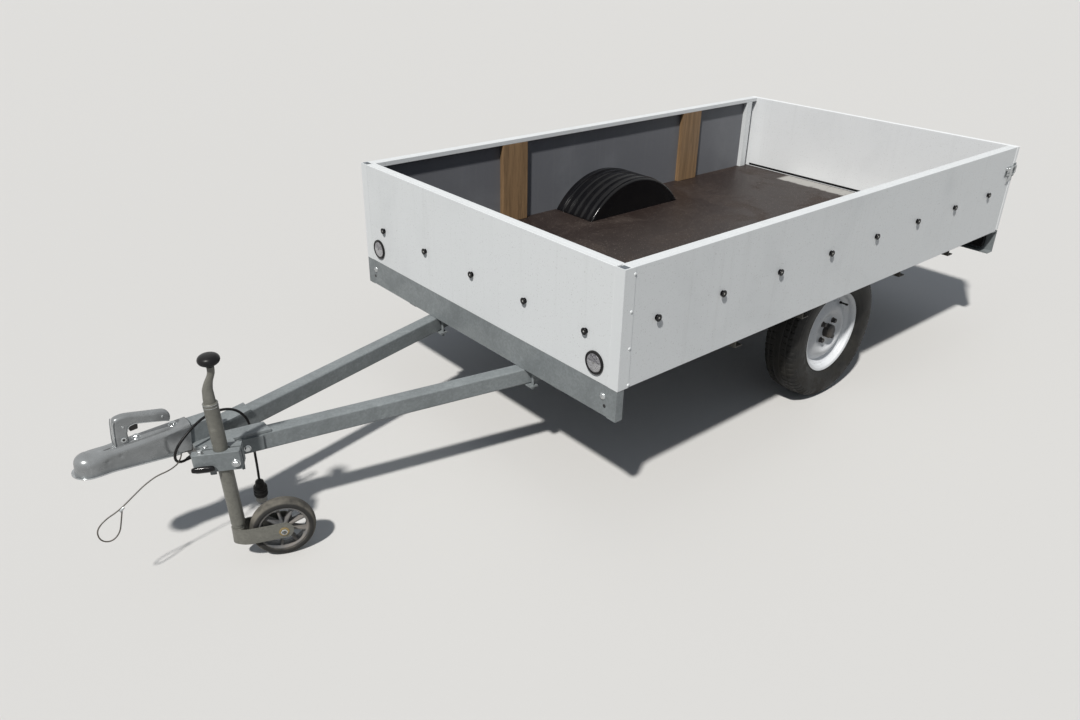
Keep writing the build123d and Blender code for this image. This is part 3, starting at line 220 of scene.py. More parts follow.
def piece(name, surfaces, look, body="root", stands_for=(),
          crease=35, bevel=0.0, shell=0.0, inside=None):
    """Joins surfaces into one object. An open sheet gives a point inside it, and a shell's thickness."""
    points, faces, count = [], [], 0
    for where, around in surfaces:
        points.append(where)
        faces += [[i + count for i in face] for face in around]
        count += len(where)
    mesh = bpy.data.meshes.new(name)
    mesh.from_pydata(np.vstack(points).tolist(), [], faces)
    work = bmesh.new()
    work.from_mesh(mesh)
    bmesh.ops.remove_doubles(work, verts=work.verts, dist=merge_distance)
    bmesh.ops.recalc_face_normals(work, faces=work.faces)
    if inside is not None:
        heart = Vector(inside)
        facing = sum(f.normal.dot(f.calc_center_median() - heart) * f.calc_area() for f in work.faces)
        if facing < 0:
            bmesh.ops.reverse_faces(work, faces=work.faces)
    work.to_mesh(mesh)
    work.free()
    mesh.shade_smooth()
    mesh.set_sharp_from_angle(angle=math.radians(crease))
    thing = added(name, mesh)
    if shell:
        solid = thing.modifiers.new("shell", "SOLIDIFY")
        solid.thickness, solid.offset = shell, -1
    if bevel:
        edge = thing.modifiers.new("edge", "BEVEL")
        edge.width, edge.segments, edge.limit_method, edge.harden_normals = bevel, 3, "ANGLE", True
    mesh.materials.append(looks[look])
    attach(thing, body)
    if stands_for:
        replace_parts(thing, stands_for)
    return thing


print("surface tools ready")

# %% [markdown]
# ## Shared effects
#
# Weather, zinc crystals, wood grain and road dust appear on many materials, so each is a node group. A
# group puts out only patterns: masks between nought and one, and heights. Each material decides what colour
# or gloss a pattern makes. Every pattern reads object coordinates, so it stays on its piece when a joint
# moves.


# %% Node tools and groups
def put(tree, kind, inputs=None, **settings):
    """A shader node with its settings and inputs. An input may be a value or another node's output."""
    node = tree.nodes.new("ShaderNode" + kind)
    for key, value in settings.items():
        setattr(node, key, value)
    for key, value in (inputs or {}).items():
        if isinstance(value, bpy.types.NodeSocket):
            tree.links.new(value, node.inputs[key])
        else:
            node.inputs[key].default_value = value
    return node


def noise(tree, where, scale, detail, rough=0.55, twist=0.0):
    """Soft random pattern, nought to one."""
    inputs = {"Vector": where, "Scale": scale, "Detail": detail, "Roughness": rough, "Distortion": twist}
    return put(tree, "TexNoise", inputs).outputs[0]


def stretch(tree, where, x, y, z):
    """The same place with its axes scaled, which stretches a pattern."""
    return put(tree, "Mapping", {"Vector": where, "Scale": (x, y, z)}).outputs[0]


def along_axis(tree, place, axis):
    """One coordinate of a place: 0, 1 or 2."""
    return put(tree, "SeparateXYZ", {0: place}).outputs[axis]


def span(tree, value, low=0.0, high=1.0, to_low=0.0, to_high=1.0):
    """A value's range from low to high, spread over a new one and clamped."""
    inputs = {0: value, 1: low, 2: high, 3: to_low, 4: to_high}
    return put(tree, "MapRange", inputs, interpolation_type="SMOOTHSTEP").outputs[0]


def sums(tree, how, a, b=0.0):
    """One sum of two numbers."""
    return put(tree, "Math", {0: a, 1: b}, operation=how).outputs[0]


def times(tree, a, b):
    """Two numbers multiplied."""
    return sums(tree, "MULTIPLY", a, b)


def colours(tree, share, a, b):
    """A colour between a and b."""
    def full(c):
        return c if isinstance(c, bpy.types.NodeSocket) else (*c, 1.0)
    return put(tree, "Mix", {0: share, 6: full(a), 7: full(b)}, data_type="RGBA").outputs[2]


def tinted(tree, colour, mask, share, other):
    """A colour with a share of another one where the mask is one."""
    return colours(tree, times(tree, mask, share), colour, other)


def group(name, build):
    """A node group with one place going in. Build returns its named outputs."""
    tree = bpy.data.node_groups.new(name, "ShaderNodeTree")
    tree.interface.new_socket("Place", in_out="INPUT", socket_type="NodeSocketVector")
    inner = tree.nodes.new("NodeGroupInput")
    made = build(tree, inner.outputs[0])
    outer_node = tree.nodes.new("NodeGroupOutput")
    for key, socket in made.items():
        tree.interface.new_socket(key, in_out="OUTPUT", socket_type="NodeSocketFloat")
        tree.links.new(socket, outer_node.inputs[key])
    return tree


def weather_group(tree, place):
    """Large smudges, upright runs of dirty water, fine specks and a faint orange-peel height."""
    smudge = span(tree, noise(tree, place, 2.6, 5.0, 0.6, 0.4), 0.45, 0.75)
    runs = span(tree, noise(tree, stretch(tree, place, 38, 38, 1.3), 1.0, 4.0, 0.6), 0.52, 0.78)
    speck = span(tree, noise(tree, place, 210.0, 2.0), 0.62, 0.74)
    scuff = span(tree, noise(tree, stretch(tree, place, 5, 5, 60), 1.0, 6.0, 0.7, 1.2), 0.62, 0.72)
    peel = noise(tree, place, 420.0, 2.0)
    return {"Smudge": smudge, "Runs": runs, "Speck": speck, "Scuff": scuff, "Peel": peel}


def spangle_group(tree, place):
    """Zinc crystals: cells of slightly different tone, a larger stain, and white bloom in patches."""
    warped = put(tree, "TexNoise", {"Vector": place, "Scale": 30.0, "Detail": 2.0}).outputs[1]
    bent = put(tree, "Mix", {0: 0.012, 4: place, 5: warped}, data_type="VECTOR").outputs[1]
    cells = put(tree, "TexVoronoi", {"Vector": bent, "Scale": 150.0}).outputs[1]
    tone = put(tree, "SeparateColor", {0: cells}).outputs[0]
    stain = span(tree, noise(tree, place, 7.0, 6.0, 0.65, 0.5), 0.35, 0.72)
    bloom = span(tree, noise(tree, place, 34.0, 6.0, 0.75), 0.56, 0.74)
    return {"Crystal": tone, "Stain": stain, "Bloom": bloom, "Grain": noise(tree, place, 300.0, 2.0)}


def timber_group(tree, place):
    """Upright grain: streaks that a stretched noise bends, short dark pores and soft clouds."""
    grain = noise(tree, stretch(tree, place, 60, 60, 3), 1.0, 6.0, 0.65, 0.8)
    pores = span(tree, noise(tree, stretch(tree, place, 420, 420, 14), 1.0, 2.0), 0.6, 0.72)
    return {"Grain": grain, "Pores": pores, "Cloud": noise(tree, place, 5.0, 3.0)}


def road_group(tree, place):
    """Dust that lies thicker near the ground, mud flecks and a fine pitted height."""
    low = span(tree, along_axis(tree, place, 2), 0.45, 0.02)
    patch = span(tree, noise(tree, place, 14.0, 5.0, 0.65), 0.38, 0.68)
    flecks = span(tree, noise(tree, place, 120.0, 3.0), 0.6, 0.7)
    dust = times(tree, sums(tree, "ADD", low, 0.35), patch)
    return {"Dust": dust, "Flecks": flecks, "Pits": noise(tree, place, 500.0, 3.0)}


builders = {"weather": weather_group, "spangle": spangle_group, "timber": timber_group, "road": road_group}
groups = {name: group(name, build) for name, build in builders.items()}
print("node groups:", ", ".join(groups))

# %% [markdown]
# ## Materials
#
# One function sets up each material: the constant values go on the shader's own sockets, and a short recipe
# links what varies. Paint, zinc, rubber and wood differ mostly in gloss and in how dirt gathers on them, so
# each recipe is a few lines that tint the base colour and disturb the roughness.


# %% Materials
skin = 0.001  # how deep a bump goes, in metres


def finish(name, colour, rough, recipe, metal=0.0, shine=0.5, coat=0.0):
    """A material of one shader, constants on its sockets. The recipe links colour, roughness and height."""
    material = bpy.data.materials.new(name)
    material.use_nodes = True
    tree = material.node_tree
    shader = tree.nodes["Principled BSDF"]
    constants = {"Base Color": (*colour, 1.0), "Roughness": rough, "Metallic": metal,
                 "Specular IOR Level": shine, "Coat Weight": coat}
    for key, value in constants.items():
        shader.inputs[key].default_value = value
    made = recipe(tree, put(tree, "TexCoord").outputs["Object"], colour)
    for key, socket in made.items():
        if key == "Height":
            socket = put(tree, "Bump", dict(zip(("Height", "Strength", "Distance"), socket))).outputs[0]
            key = "Normal"
        tree.links.new(socket, shader.inputs[key])
    looks[name] = material


def effect(tree, name, place):
    """The outputs of one shared effect at a place."""
    node = tree.nodes.new("ShaderNodeGroup")
    node.node_tree = groups[name]
    tree.links.new(place, node.inputs[0])
    return node.outputs


def scaled(colour, by):
    """A colour made lighter or darker."""
    return tuple(min(1.0, c * by) for c in colour)


# each pattern of dirt on paint, with its share and its colour
paint_dirt = [("Smudge", 0.16, (0.40, 0.42, 0.43)), ("Runs", 0.09, (0.34, 0.34, 0.33)),
              ("Scuff", 0.10, (0.22, 0.22, 0.21)), ("Speck", 0.35, (0.20, 0.18, 0.15))]


def painted(dirt, inner_mask=None):
    """Satin paint with smudges, runs and scuffs; the side that faces the bed may keep its film's grey."""

    def recipe(tree, place, colour):
        w = effect(tree, "weather", place)
        tint = colours(tree, inner_mask(tree, place), colour, film_grey) if inner_mask else colour
        for pattern, share, other in paint_dirt:
            tint = tinted(tree, tint, w[pattern], share * dirt, other)
        rough = span(tree, w["Smudge"], to_low=0.36, to_high=0.55)
        return {"Base Color": tint, "Roughness": rough, "Height": (w["Peel"], 0.10, 2 * skin)}

    return recipe


def zinc(stain, bloom, rough, grain, crystals=False):
    """Weathered zinc: dark stains and chalky bloom, each with a share and a tone, maybe over crystals."""

    def recipe(tree, place, colour):
        s = effect(tree, "spangle", place)
        tint = colour
        if crystals:
            tint = colours(tree, span(tree, s["Crystal"]), scaled(colour, 0.92), scaled(colour, 1.08))
        for pattern, (share, tone) in (("Stain", stain), ("Bloom", bloom)):
            tint = tinted(tree, tint, s[pattern], share, scaled(colour, tone))
        gloss = span(tree, s["Stain"], to_low=rough[0], to_high=rough[1])
        return {"Base Color": tint, "Roughness": gloss, "Height": (s["Grain"], grain, skin)}

    return recipe


def plated(tree, place, colour):
    """Bright zinc plate with handling smears and small dull spots."""
    s, w = effect(tree, "spangle", place), effect(tree, "weather", place)
    tint = tinted(tree, colour, s["Stain"], 0.5, scaled(colour, 0.6))
    tint = tinted(tree, tint, w["Speck"], 0.5, (0.20, 0.17, 0.13))
    gloss = span(tree, s["Bloom"], to_low=0.20, to_high=0.42)
    return {"Base Color": tint, "Roughness": gloss, "Height": (s["Grain"], 0.06, skin)}


def dusty(share=0.3, rough=(0.5, 0.85), dust=(0.34, 0.29, 0.23), height=0.15):
    """Plastic or rubber with road dust and flecks of dried mud."""

    def recipe(tree, place, colour):
        r = effect(tree, "road", place)
        tint = tinted(tree, colour, r["Dust"], share, dust)
        tint = tinted(tree, tint, r["Flecks"], share * 0.5, dust)
        gloss = span(tree, r["Dust"], to_low=rough[0], to_high=rough[1])
        return {"Base Color": tint, "Roughness": gloss, "Height": (r["Pits"], height, skin)}

    return recipe


def decking(tree, place, colour):
    """Film-faced plywood: pale specks, dust drifts, and a worn pale strip before the tailgate."""
    w, r = effect(tree, "weather", place), effect(tree, "road", place)
    x, y = along_axis(tree, place, 0), along_axis(tree, place, 1)
    drift = span(tree, noise(tree, place, 3.5, 6.0, 0.7, 0.6), 0.42, 0.78)
    tint = tinted(tree, colour, drift, 0.17, (0.15, 0.12, 0.10))
    tint = tinted(tree, tint, w["Speck"], 0.55, (0.36, 0.30, 0.26))
    edge = sums(tree, "ADD", x, times(tree, noise(tree, place, 16.0, 4.0), 0.05))
    strip = times(tree, span(tree, edge, -1.780, -1.800), span(tree, edge, -1.905, -1.885))
    strip = times(tree, strip, span(tree, y, -0.43, -0.40))
    worn = span(tree, noise(tree, stretch(tree, place, 14, 60, 14), 1.0, 5.0, 0.7), 0.25, 0.42)
    tint = tinted(tree, tint, strip, worn, (0.36, 0.35, 0.33))
    gloss = span(tree, drift, to_low=0.42, to_high=0.72)
    return {"Base Color": tint, "Roughness": gloss, "Height": (r["Pits"], 0.18, skin)}


def planks(tree, place, colour):
    """Varnished softwood that has yellowed and weathered."""
    t = effect(tree, "timber", place)
    tint = colours(tree, span(tree, t["Grain"], 0.35, 0.68), scaled(colour, 1.15), scaled(colour, 0.72))
    tint = tinted(tree, tint, t["Pores"], 0.5, scaled(colour, 0.3))
    gloss = span(tree, t["Cloud"], 0.3, 0.7, 0.45, 0.7)
    return {"Base Color": tint, "Roughness": gloss, "Height": (t["Grain"], 0.2, skin)}


paint_foot = (0.5035, 0.5045)
steel_metal = 0.08


def posts(tree, place, colour):
    """The corner posts are painted with the boards above the bed's foot and bare zinc below it."""
    made = galvanised(tree, place, colour)
    z = along_axis(tree, place, 2)
    made["Base Color"] = colours(tree, span(tree, z, *paint_foot), made["Base Color"], white)
    made["Metallic"] = span(tree, z, *paint_foot, steel_metal, 0.0)
    return made


def below_rim(tree, place, inner):
    """An inner face's mask, which stops below the board's painted top edge."""
    return times(tree, inner, span(tree, along_axis(tree, place, 2), 0.9045, 0.9035))


def inner_side(tree, place):
    """The side boards' inner faces: nearer the middle than their thickness."""
    out = sums(tree, "ABSOLUTE", along_axis(tree, place, 1))
    return below_rim(tree, place, span(tree, out, 0.7345, 0.7325))


def inner_front(tree, place):
    """The front board's inner face."""
    return below_rim(tree, place, span(tree, along_axis(tree, place, 0), 0.5735, 0.5715))


white, film_grey, zinc_grey = (0.735, 0.76, 0.77), (0.160, 0.166, 0.182), (0.228, 0.250, 0.257)
galvanised = zinc((0.60, 0.66), (0.40, 1.75), (0.34, 0.56), 0.12, crystals=True)
pressed = zinc((0.75, 0.55), (0.35, 1.7), (0.20, 0.40), 0.10)
road_rubber = dusty(0.30, (0.5, 0.85), (0.085, 0.080, 0.070), 0.3)
finish("board_white", white, 0.42, painted(0.9, inner_side), shine=0.2)
finish("front_board_white", white, 0.42, painted(0.9, inner_front), shine=0.2)
finish("plain_white", white, 0.42, painted(0.8))
# painted light: a whiter copy of the boards' paint, which lightens the tailgate where the bed gets less light
finish("tailgate_lit_white", (0.84, 0.86, 0.87), 0.42, painted(0.7))
finish("rim_white", (0.66, 0.68, 0.70), 0.4, painted(1.6))
finish("floor_brown", (0.021, 0.0140, 0.0120), 0.55, decking, shine=0.25)
finish("batten_timber", (0.25, 0.155, 0.078), 0.55, planks)
finish("galvanised_steel", zinc_grey, 0.45, galvanised, steel_metal, 0.25)
finish("post_steel", zinc_grey, 0.45, posts, steel_metal, 0.25)
finish("dull_zinc", (0.170, 0.168, 0.147), 0.42, galvanised, 0.15)
finish("coupling_zinc", (0.300, 0.313, 0.320), 0.30, pressed, 0.5)
# bright zinc plate for bolts, pins and nuts; on the coupling's lip, the lever's hems and the tube's bands it
# is a painted highlight
finish("zinc_bright", (0.52, 0.54, 0.55), 0.30, plated, 0.9)
finish("zinc_yellow", (0.36, 0.27, 0.13), 0.36, plated, 0.8)
finish("black_plastic", (0.004, 0.004, 0.005), 0.16, dusty(0.02, (0.12, 0.26)), shine=0.25)
finish("dark_plastic", (0.007, 0.007, 0.008), 0.36, dusty(0.03, (0.30, 0.55)), shine=0.2)
# black rubber for the cable, relief, valves and seal; as the strip at the tailgate's foot it is painted shade
finish("black_rubber", (0.006, 0.006, 0.007), 0.5, dusty(0.06, (0.40, 0.65)), shine=0.2)
finish("tyre_rubber", (0.012, 0.012, 0.0118), 0.65, road_rubber, shine=0.2)
finish("jockey_rim_grey", (0.125, 0.13, 0.137), 0.5, dusty())
finish("shaded_recess", (0.075, 0.072, 0.062), 0.6, dusty())
# dark steel for hubs, arms, bolts and the catch; on holes, pin sockets and the coupling's window it is
# painted shade
finish("hub_dark", (0.02, 0.02, 0.022), 0.5, dusty(), 0.3)
finish("steel_wire", (0.085, 0.078, 0.070), 0.6, dusty(), 0.2)
finish("lamp_red", (0.42, 0.008, 0.010), 0.14, dusty(0.12, (0.12, 0.4)), coat=0.4)
# painted shade: the dark inside of the corner posts' open tops
finish("post_mouth", (0.105, 0.125, 0.145), 0.5, dusty(0.2))
finish("plug_grey", (0.42, 0.42, 0.40), 0.5, dusty(0.2))
print("materials:", len(looks))

# %% [markdown]
# ## The supply cable and the safety wire
#
# Both cords follow the routes of the solid model, as splines whose control points are the route's points.
# The cable leaves the left drawbar tube, loops over the drawbar head and hangs down to its plug. The thin
# steel wire is springy: it leaves the coupling's lip in one low arch, and its end turns back into an eye.

# %% Cords
bed_front, rim_top = 0.589, 0.905
cable_route = mm(
    (1060, 30, 566), (1072, 30, 566), (1100, 38, 570), (1122, 54, 552), (1127, 69, 518), (1110, 74, 484),
    (1065, 66, 452), (1017, 46, 439), (963, 30, 441), (914, 20, 463), (883, 18, 506), (870, 4, 568),
    (859, -32, 662), (849, -56, 746), (847, -64, 801))
wire_route = mm(
    (1100, 39.45, 542.4), (1114, 64, 551), (1150, 74, 560), (1188, 75, 562), (1226, 77, 577), (1262, 79, 599),
    (1306, 78, 629), (1346, 79, 641), (1375, 82, 664), (1372, 85, 700), (1345, 86, 716), (1318, 83, 700),
    (1306, 80, 662), (1297, 79.5, 627))


def free_cord(name, route, radius, look, stands_for):
    """A smooth round cord. Its control points are given ahead of the bed, left, and below the rim."""
    ahead, left, drop = route.T
    places = np.column_stack([bed_front + ahead, left, rim_top - drop])
    curve = bpy.data.curves.new(name, "CURVE")
    curve.dimensions, curve.bevel_depth, curve.bevel_resolution, curve.use_fill_caps = "3D", radius, 5, True
    line = curve.splines.new("NURBS")
    line.points.add(len(places) - 1)
    line.points.foreach_set("co", np.column_stack([places, np.ones(len(places))]).ravel())
    line.order_u, line.use_endpoint_u, line.resolution_u = 3, True, 24
    curve.materials.append(looks[look])
    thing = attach(added(name, curve), "root")
    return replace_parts(thing, stands_for), places


cable, cable_places = free_cord("cable", cable_route, 0.0041, "black_rubber", "supply_cable")
wire, wire_places = free_cord("wire", wire_route, 0.0020, "steel_wire", "safety_wire")


def around(centre, radius, a, b, angles):
    """Places on a circle: centre + radius·(cos t·a + sin t·b)."""
    return [centre + radius * (math.cos(t) * a + math.sin(t) * b) for t in angles]


plug_dir = unit(cable_places[-1] - cable_places[-2])
plug_top = cable_places[-1] + plug_dir * 0.0003
lug_side = unit(np.cross(plug_dir, [0.0, 1.0, 0.0]))
plug_across = np.cross(plug_dir, lug_side)
gland = mm((0, 0), (0, 6.5), (3, 9), (6, 13.5), (10, 14.5), (22, 15.5), (24.5, 16), (27, 20.5), (30, 22.8),
           (34, 23), (36, 21.8), (38, 23), (50, 23), (52, 21.8), (54, 23), (63, 23), (66, 21.5), (66, 0))
mating = mm((64, 0), (64, 18.8), (88, 18.8), (90, 17.8), (90, 15), (72, 14.5), (72, 0))
pin = mm((0, 0), (0, 1.8), (14, 1.8), (15.5, 1), (15.5, 0))
lug_outline = eased(mm((-12, 28), (12, 28), (10, 58), (-10, 58)), 0.004)
lug = prism(lug_outline, plug_top + lug_side * 0.019, plug_across, plug_dir, -0.009)
pin_angles = np.linspace(0, 2 * np.pi, 6, endpoint=False)
pin_places = around(plug_top + plug_dir * 0.072, 0.0085, lug_side, plug_across, pin_angles)
plug_parts = [
    piece("plug_body", [lathe(gland, plug_top, plug_dir, 36)], "dark_plastic", stands_for="supply_plug"),
    piece("plug_end", [lathe(mating, plug_top, plug_dir, 36)], "plug_grey"),
    piece("plug_lug", [lug], "dark_plastic", bevel=0.0012),
    piece("plug_pins", [lathe(pin, at, plug_dir, 12) for at in pin_places], "zinc_bright"),
]

share = np.linspace(0, 1, 13)[:, None]
weights = np.hstack([(1 - share) ** 2, 2 * share - 1.5 * share**2, share**2 / 2])
relief_radius = np.interp(share[:, 0], [0.0, 0.14, 0.17, 1.0], mm(8.8, 8.8, 7.4, 5.2))
relief = sweep(np.stack([circle(r) for r in relief_radius]), weights @ cable_places[:3], (0, 0, 1))
piece("cable_relief", [relief], "black_rubber")

strand_dir = unit(wire_places[6] - wire_places[5])
ferrule_place = wire_places[-1] - strand_dir * 0.007 - [0.0, 0.0008, 0.0]
sleeve = np.array([(0, 0), (0, 1), (0.5, 1.15), (1, 1), (1, 0)]) * mm(16, 4.1)
sleeve_lathe = lathe(sleeve, ferrule_place, strand_dir, 20)
ferrule = piece("wire_ferrule", [sleeve_lathe], "zinc_bright")
print("cable and wire, with", len(cable_route), "and", len(wire_route), "control points")

# %% [markdown]
# ## Boards, rails and battens
#
# The boards are flat, so what makes them look real is at their edges: a small rounded edge that catches the
# light, a narrow dark joint where two boards meet, and a painted corner strip held with rivets. Each board
# takes its size from its solid. The side boards are a little shorter, so the joints draw themselves as
# shadows.

# %% Boards
joint_gap = np.array([0.0006, 0.0, 0.0])
board_table = [("side_board_left", "board_white", 0.0016), ("side_board_right", "board_white", 0.0016),
               ("front_board", "front_board_white", 0.0016), ("tailgate", "tailgate_lit_white", 0.0022)]
for node, look, edge in board_table:
    low, high = corners(node)
    if node.startswith("side"):
        low, high = low + joint_gap, high - joint_gap
    body = "tailgate" if node == "tailgate" else "root"
    piece("dressed_" + node, [block(low, high)], look, body, node, bevel=edge)

batten_width, plank_thick = 0.145, 0.024
low, high = corners("battens")
batten_parts = [block((x, y, low[2]), (x + batten_width, y + plank_thick, high[2]))
                for x in (low[0], high[0] - batten_width) for y in (low[1], high[1] - plank_thick)]
piece("dressed_battens", batten_parts, "batten_timber", stands_for="battens", bevel=0.0025)

low, high = corners("rear_strips")
strip_parts = [block((low[0], y, low[2]), (high[0], y + plank_thick, high[2]))
               for y in (low[1], high[1] - plank_thick)]
piece("dressed_strips", strip_parts, "plain_white", stands_for="rear_strips", bevel=0.002)

low, high = corners("rim_rails")
side_rear = corners("side_board_left")[0][0]
post_side, board_thick = 0.030, 0.018
rail_parts = [block((side_rear, y, low[2]), (bed_front - post_side, y + plank_thick, high[2]))
              for y in (low[1], high[1] - plank_thick)]
front_rail = bed_front - board_thick - plank_thick
rail_end = plank_thick + joint_gap[0]
rail_parts.append(block((front_rail, low[1] + rail_end, low[2]),
                        (front_rail + plank_thick, high[1] - rail_end, high[2])))
piece("dressed_rails", rail_parts, "plain_white", stands_for="rim_rails", bevel=0.002)

half_width, board_foot = 0.750, 0.504
strip_thick = 0.0016
strip_outline = mm((0, 0), (-48, 0), (-46, 401), (0, 401))
rivet_places = mm((-42.5, 883), (-37, 764), (-40, 641), (-46, 514))
rivet_dome = mm((0, 5.5), (1.2, 5), (2.2, 3.4), (2.7, 1.6), (2.8, 0))
corner_parts, rivet_parts, mouth_shade_parts = [], [], []
for side in sides:
    face = side * half_width
    strip_foot = (bed_front, face, board_foot)
    corner_parts.append(prism(strip_outline, strip_foot, (1, 0, 0), (0, 0, 1), -side * strip_thick))
    rivet_parts += [lathe(rivet_dome, (bed_front + x, face + side * strip_thick, z), (0, side, 0), 20)
                    for x, z in rivet_places]
    # painted shade: a dark plate over each post's open top stands for the inside of the hollow tube; the
    # second block is a narrow dark slot beside it
    for x0, x1, y0, y1 in mm((-29.2, -0.8, 720.8, 749.2), (-11, -8.5, 711, 700)):
        mouth_shade_parts.append(block((bed_front + x0, side * y0, 0.9040), (bed_front + x1, side * y1, 0.90495)))
piece("corner_strips", corner_parts, "plain_white", bevel=0.0005)
piece("corner_rivets", rivet_parts, "plain_white")
piece("post_mouths", mouth_shade_parts, "post_mouth")
gate_x = corners("tailgate")[1][0]
# painted shade: a black strip along the foot of the tailgate's inner face stands for the shaded gap above the
# floor
gate_gap = block((gate_x - 0.001, -0.707, 0.5225), (gate_x + 0.0008, 0.707, 0.5330))
piece("tailgate_gap", [gate_gap], "black_rubber", "tailgate")
print("boards, rails, battens, corner strips and", len(rivet_parts), "rivets")

# %% [markdown]
# ## Mudguards
#
# Each mudguard is one moulded sheet: an arch with five rounded ribs that runs round a soft corner into a
# flat wall. The arch's radius is the plain radius plus a raised cosine for each rib. The wall's points hang
# straight down from the arch's inner edge, so one grid makes the whole sheet, and a shell modifier gives
# its thickness.

# %% Mudguards
axle_x = -0.752


def mudguard(side):
    """Rows along the arch, columns across it and down its wall, as one sheet."""
    centre_z, plain, rib_rise, rib_pitch, rib_half = 0.317, 0.3604, 0.0052, 0.044, 0.0165
    floor_top, foot, inner, outer, corner = 0.522, 0.5045, 0.4785, 0.7312, 0.009
    y = np.linspace(outer, inner + corner, 92)
    ribs = (inner + outer) / 2 + 0.0015 + rib_pitch * (np.arange(5) - 2)
    bump = np.clip(1 - np.abs(y[:, None] - ribs) / rib_half, 0, 1)
    radius = plain + rib_rise * (0.5 - 0.5 * np.cos(np.pi * bump)).max(1)
    turn = np.linspace(0, np.pi / 2, 7)[1:]
    y = np.append(y, inner + corner * (1 - np.sin(turn)))
    radius = np.append(radius, plain - corner * (1 - np.cos(turn)))
    start = np.arcsin((floor_top - centre_z) / radius)
    angle = start + (np.pi - 2 * start) * np.linspace(0, 1, 61)[:, None]
    x, z = radius * np.cos(angle), centre_z + radius * np.sin(angle)
    x = np.vstack([x[:1], x, x[-1:]])
    z = np.pad(z, ((1, 1), (0, 0)), constant_values=foot)
    sheet = np.stack([axle_x + x, np.broadcast_to(y, x.shape), z], -1)
    down = np.linspace(0, 1, 10)[1:]
    wall = np.repeat(sheet[:, -1:], len(down), 1)
    wall[:, :, 2] = wall[:, :, 2] * (1 - down) + foot * down
    wall[:, :, 1] = inner
    return np.concatenate([sheet, wall], 1) * [1, side, 1]


for name, side in zip(("left", "right"), sides):
    sheet = mudguard(side)
    piece("guard_" + name, [grid(sheet)], "black_plastic", stands_for="mudguard_" + name, crease=60,
          shell=0.003, inside=(axle_x, side * 0.62, 0.52))
print("mudguard sheets of", sheet.shape[0], "by", sheet.shape[1], "points")

# %% [markdown]
# ## Road wheels
#
# The tyre is a ring of revolution whose radius is lowered where the tread has grooves: four round it and
# short slots across the shoulders. The dished rim and the cap in its middle are plain lathe work. Four bolt
# heads stand on the stud circle, where the solid rim has its holes.


# %% Tyres
def tyre_ring(centre, side, blocks=66, steps=462):
    """Radius over (angle, across) minus the tread's grooves, closed inside by the bead seat."""
    bead, half, shoulder, top, flange = mm(55.7, 77.4, 57.5, 290, 173.5)
    wall = spline([(bead, 0.1655), (bead + 0.0015, flange), (0.0668, 0.190), (0.0745, 0.2100), (half, 0.2330),
                   (0.0752, 0.2560), (0.0690, 0.2730), (shoulder, 0.2852)], 6)
    tread_x = np.linspace(shoulder, -shoulder, 60)[1:-1]
    tread_r = top - 0.0048 * (tread_x / shoulder) ** 2
    across = np.concatenate([wall[:, 0], tread_x, -wall[::-1, 0]])
    radius = np.concatenate([wall[:, 1], tread_r, wall[::-1, 1]])
    ridge = 0.0009 * sum(np.exp(-(((radius - r) / 0.0016) ** 2)) for r in mm(186.5, 204.5, 250, 262))
    across = np.clip(across + np.sign(across) * ridge * (np.abs(across) > bead), -half, half)
    t = np.linspace(0, 2 * np.pi, steps, endpoint=False)[:, None]
    grooves = sum(np.exp(-(((across - g) / 0.0023) ** 4)) for g in mm(-40, -15, 15, 40))
    phase = (t * blocks / (2 * np.pi) + 7.0 * np.abs(across)) % 1.0
    slot = (phase < 0.17) & (np.abs(across) > 0.018) & (radius > 0.268)
    shoulder_slot = (phase < 0.30) & (np.abs(across) > 0.052) & (radius > 0.262)
    depth = np.maximum(0.0036 * np.minimum(grooves, 1.0)[None] * (radius > 0.28), 0.0024 * slot)
    r = radius[None] - np.maximum(depth, 0.0030 * shoulder_slot)
    turned = np.stack([r * np.cos(t), side * np.broadcast_to(across, r.shape), r * np.sin(t)], -1)
    return grid(centre + turned, round_u=True, round_v=True)


rim_line = spline(mm(
    (60, 172.8), (59, 169), (56, 165.2), (49, 162.2), (40, 161.2), (35.2, 159), (29, 150), (23, 143.2),
    (13, 139.2), (-15, 139.2), (-27, 140.2), (-33, 150), (-38, 159), (-44, 161.2), (-56, 164.5), (-59, 169),
    (-60, 172.8)), 5)
rim_under = (rim_line[::-1] - [0.0, 0.0036]) * [0.985, 1.0]
disc_line = spline(mm((34, 29.2), (34, 45), (34.5, 61), (40, 75), (45.5, 86), (46.2, 96), (41.5, 108),
                      (31, 123), (21.5, 133), (19.5, 138.5)), 6)
disc_under = disc_line[::-1] - [0.0040, 0.0]
cap_line = spline(mm((30, 28.6), (52, 28.4), (58, 26.5), (61.2, 20), (62.2, 10), (62.4, 0)), 5)
cap_line = np.vstack([[0.030, 0.0], cap_line])
hex_head = mm((4, 0), (4, 9.8), (14.5, 9.8), (16.2, 8.5), (16.2, 0))
bolt_seat = mm((-3, 0), (-3, 12.5), (0.4, 12.5), (3, 9.8), (4.6, 9.2), (4.6, 0))
valve_line = mm((0, 0), (0, 5.5), (6, 5.5), (9, 3.8), (26, 3.6), (26.5, 4.6), (36, 4.6), (36, 0))
wheel_y, wheel_radius = 0.6125, 0.290
ahead_way, up_way = np.array([1.0, 0.0, 0.0]), np.array([0.0, 0.0, 1.0])
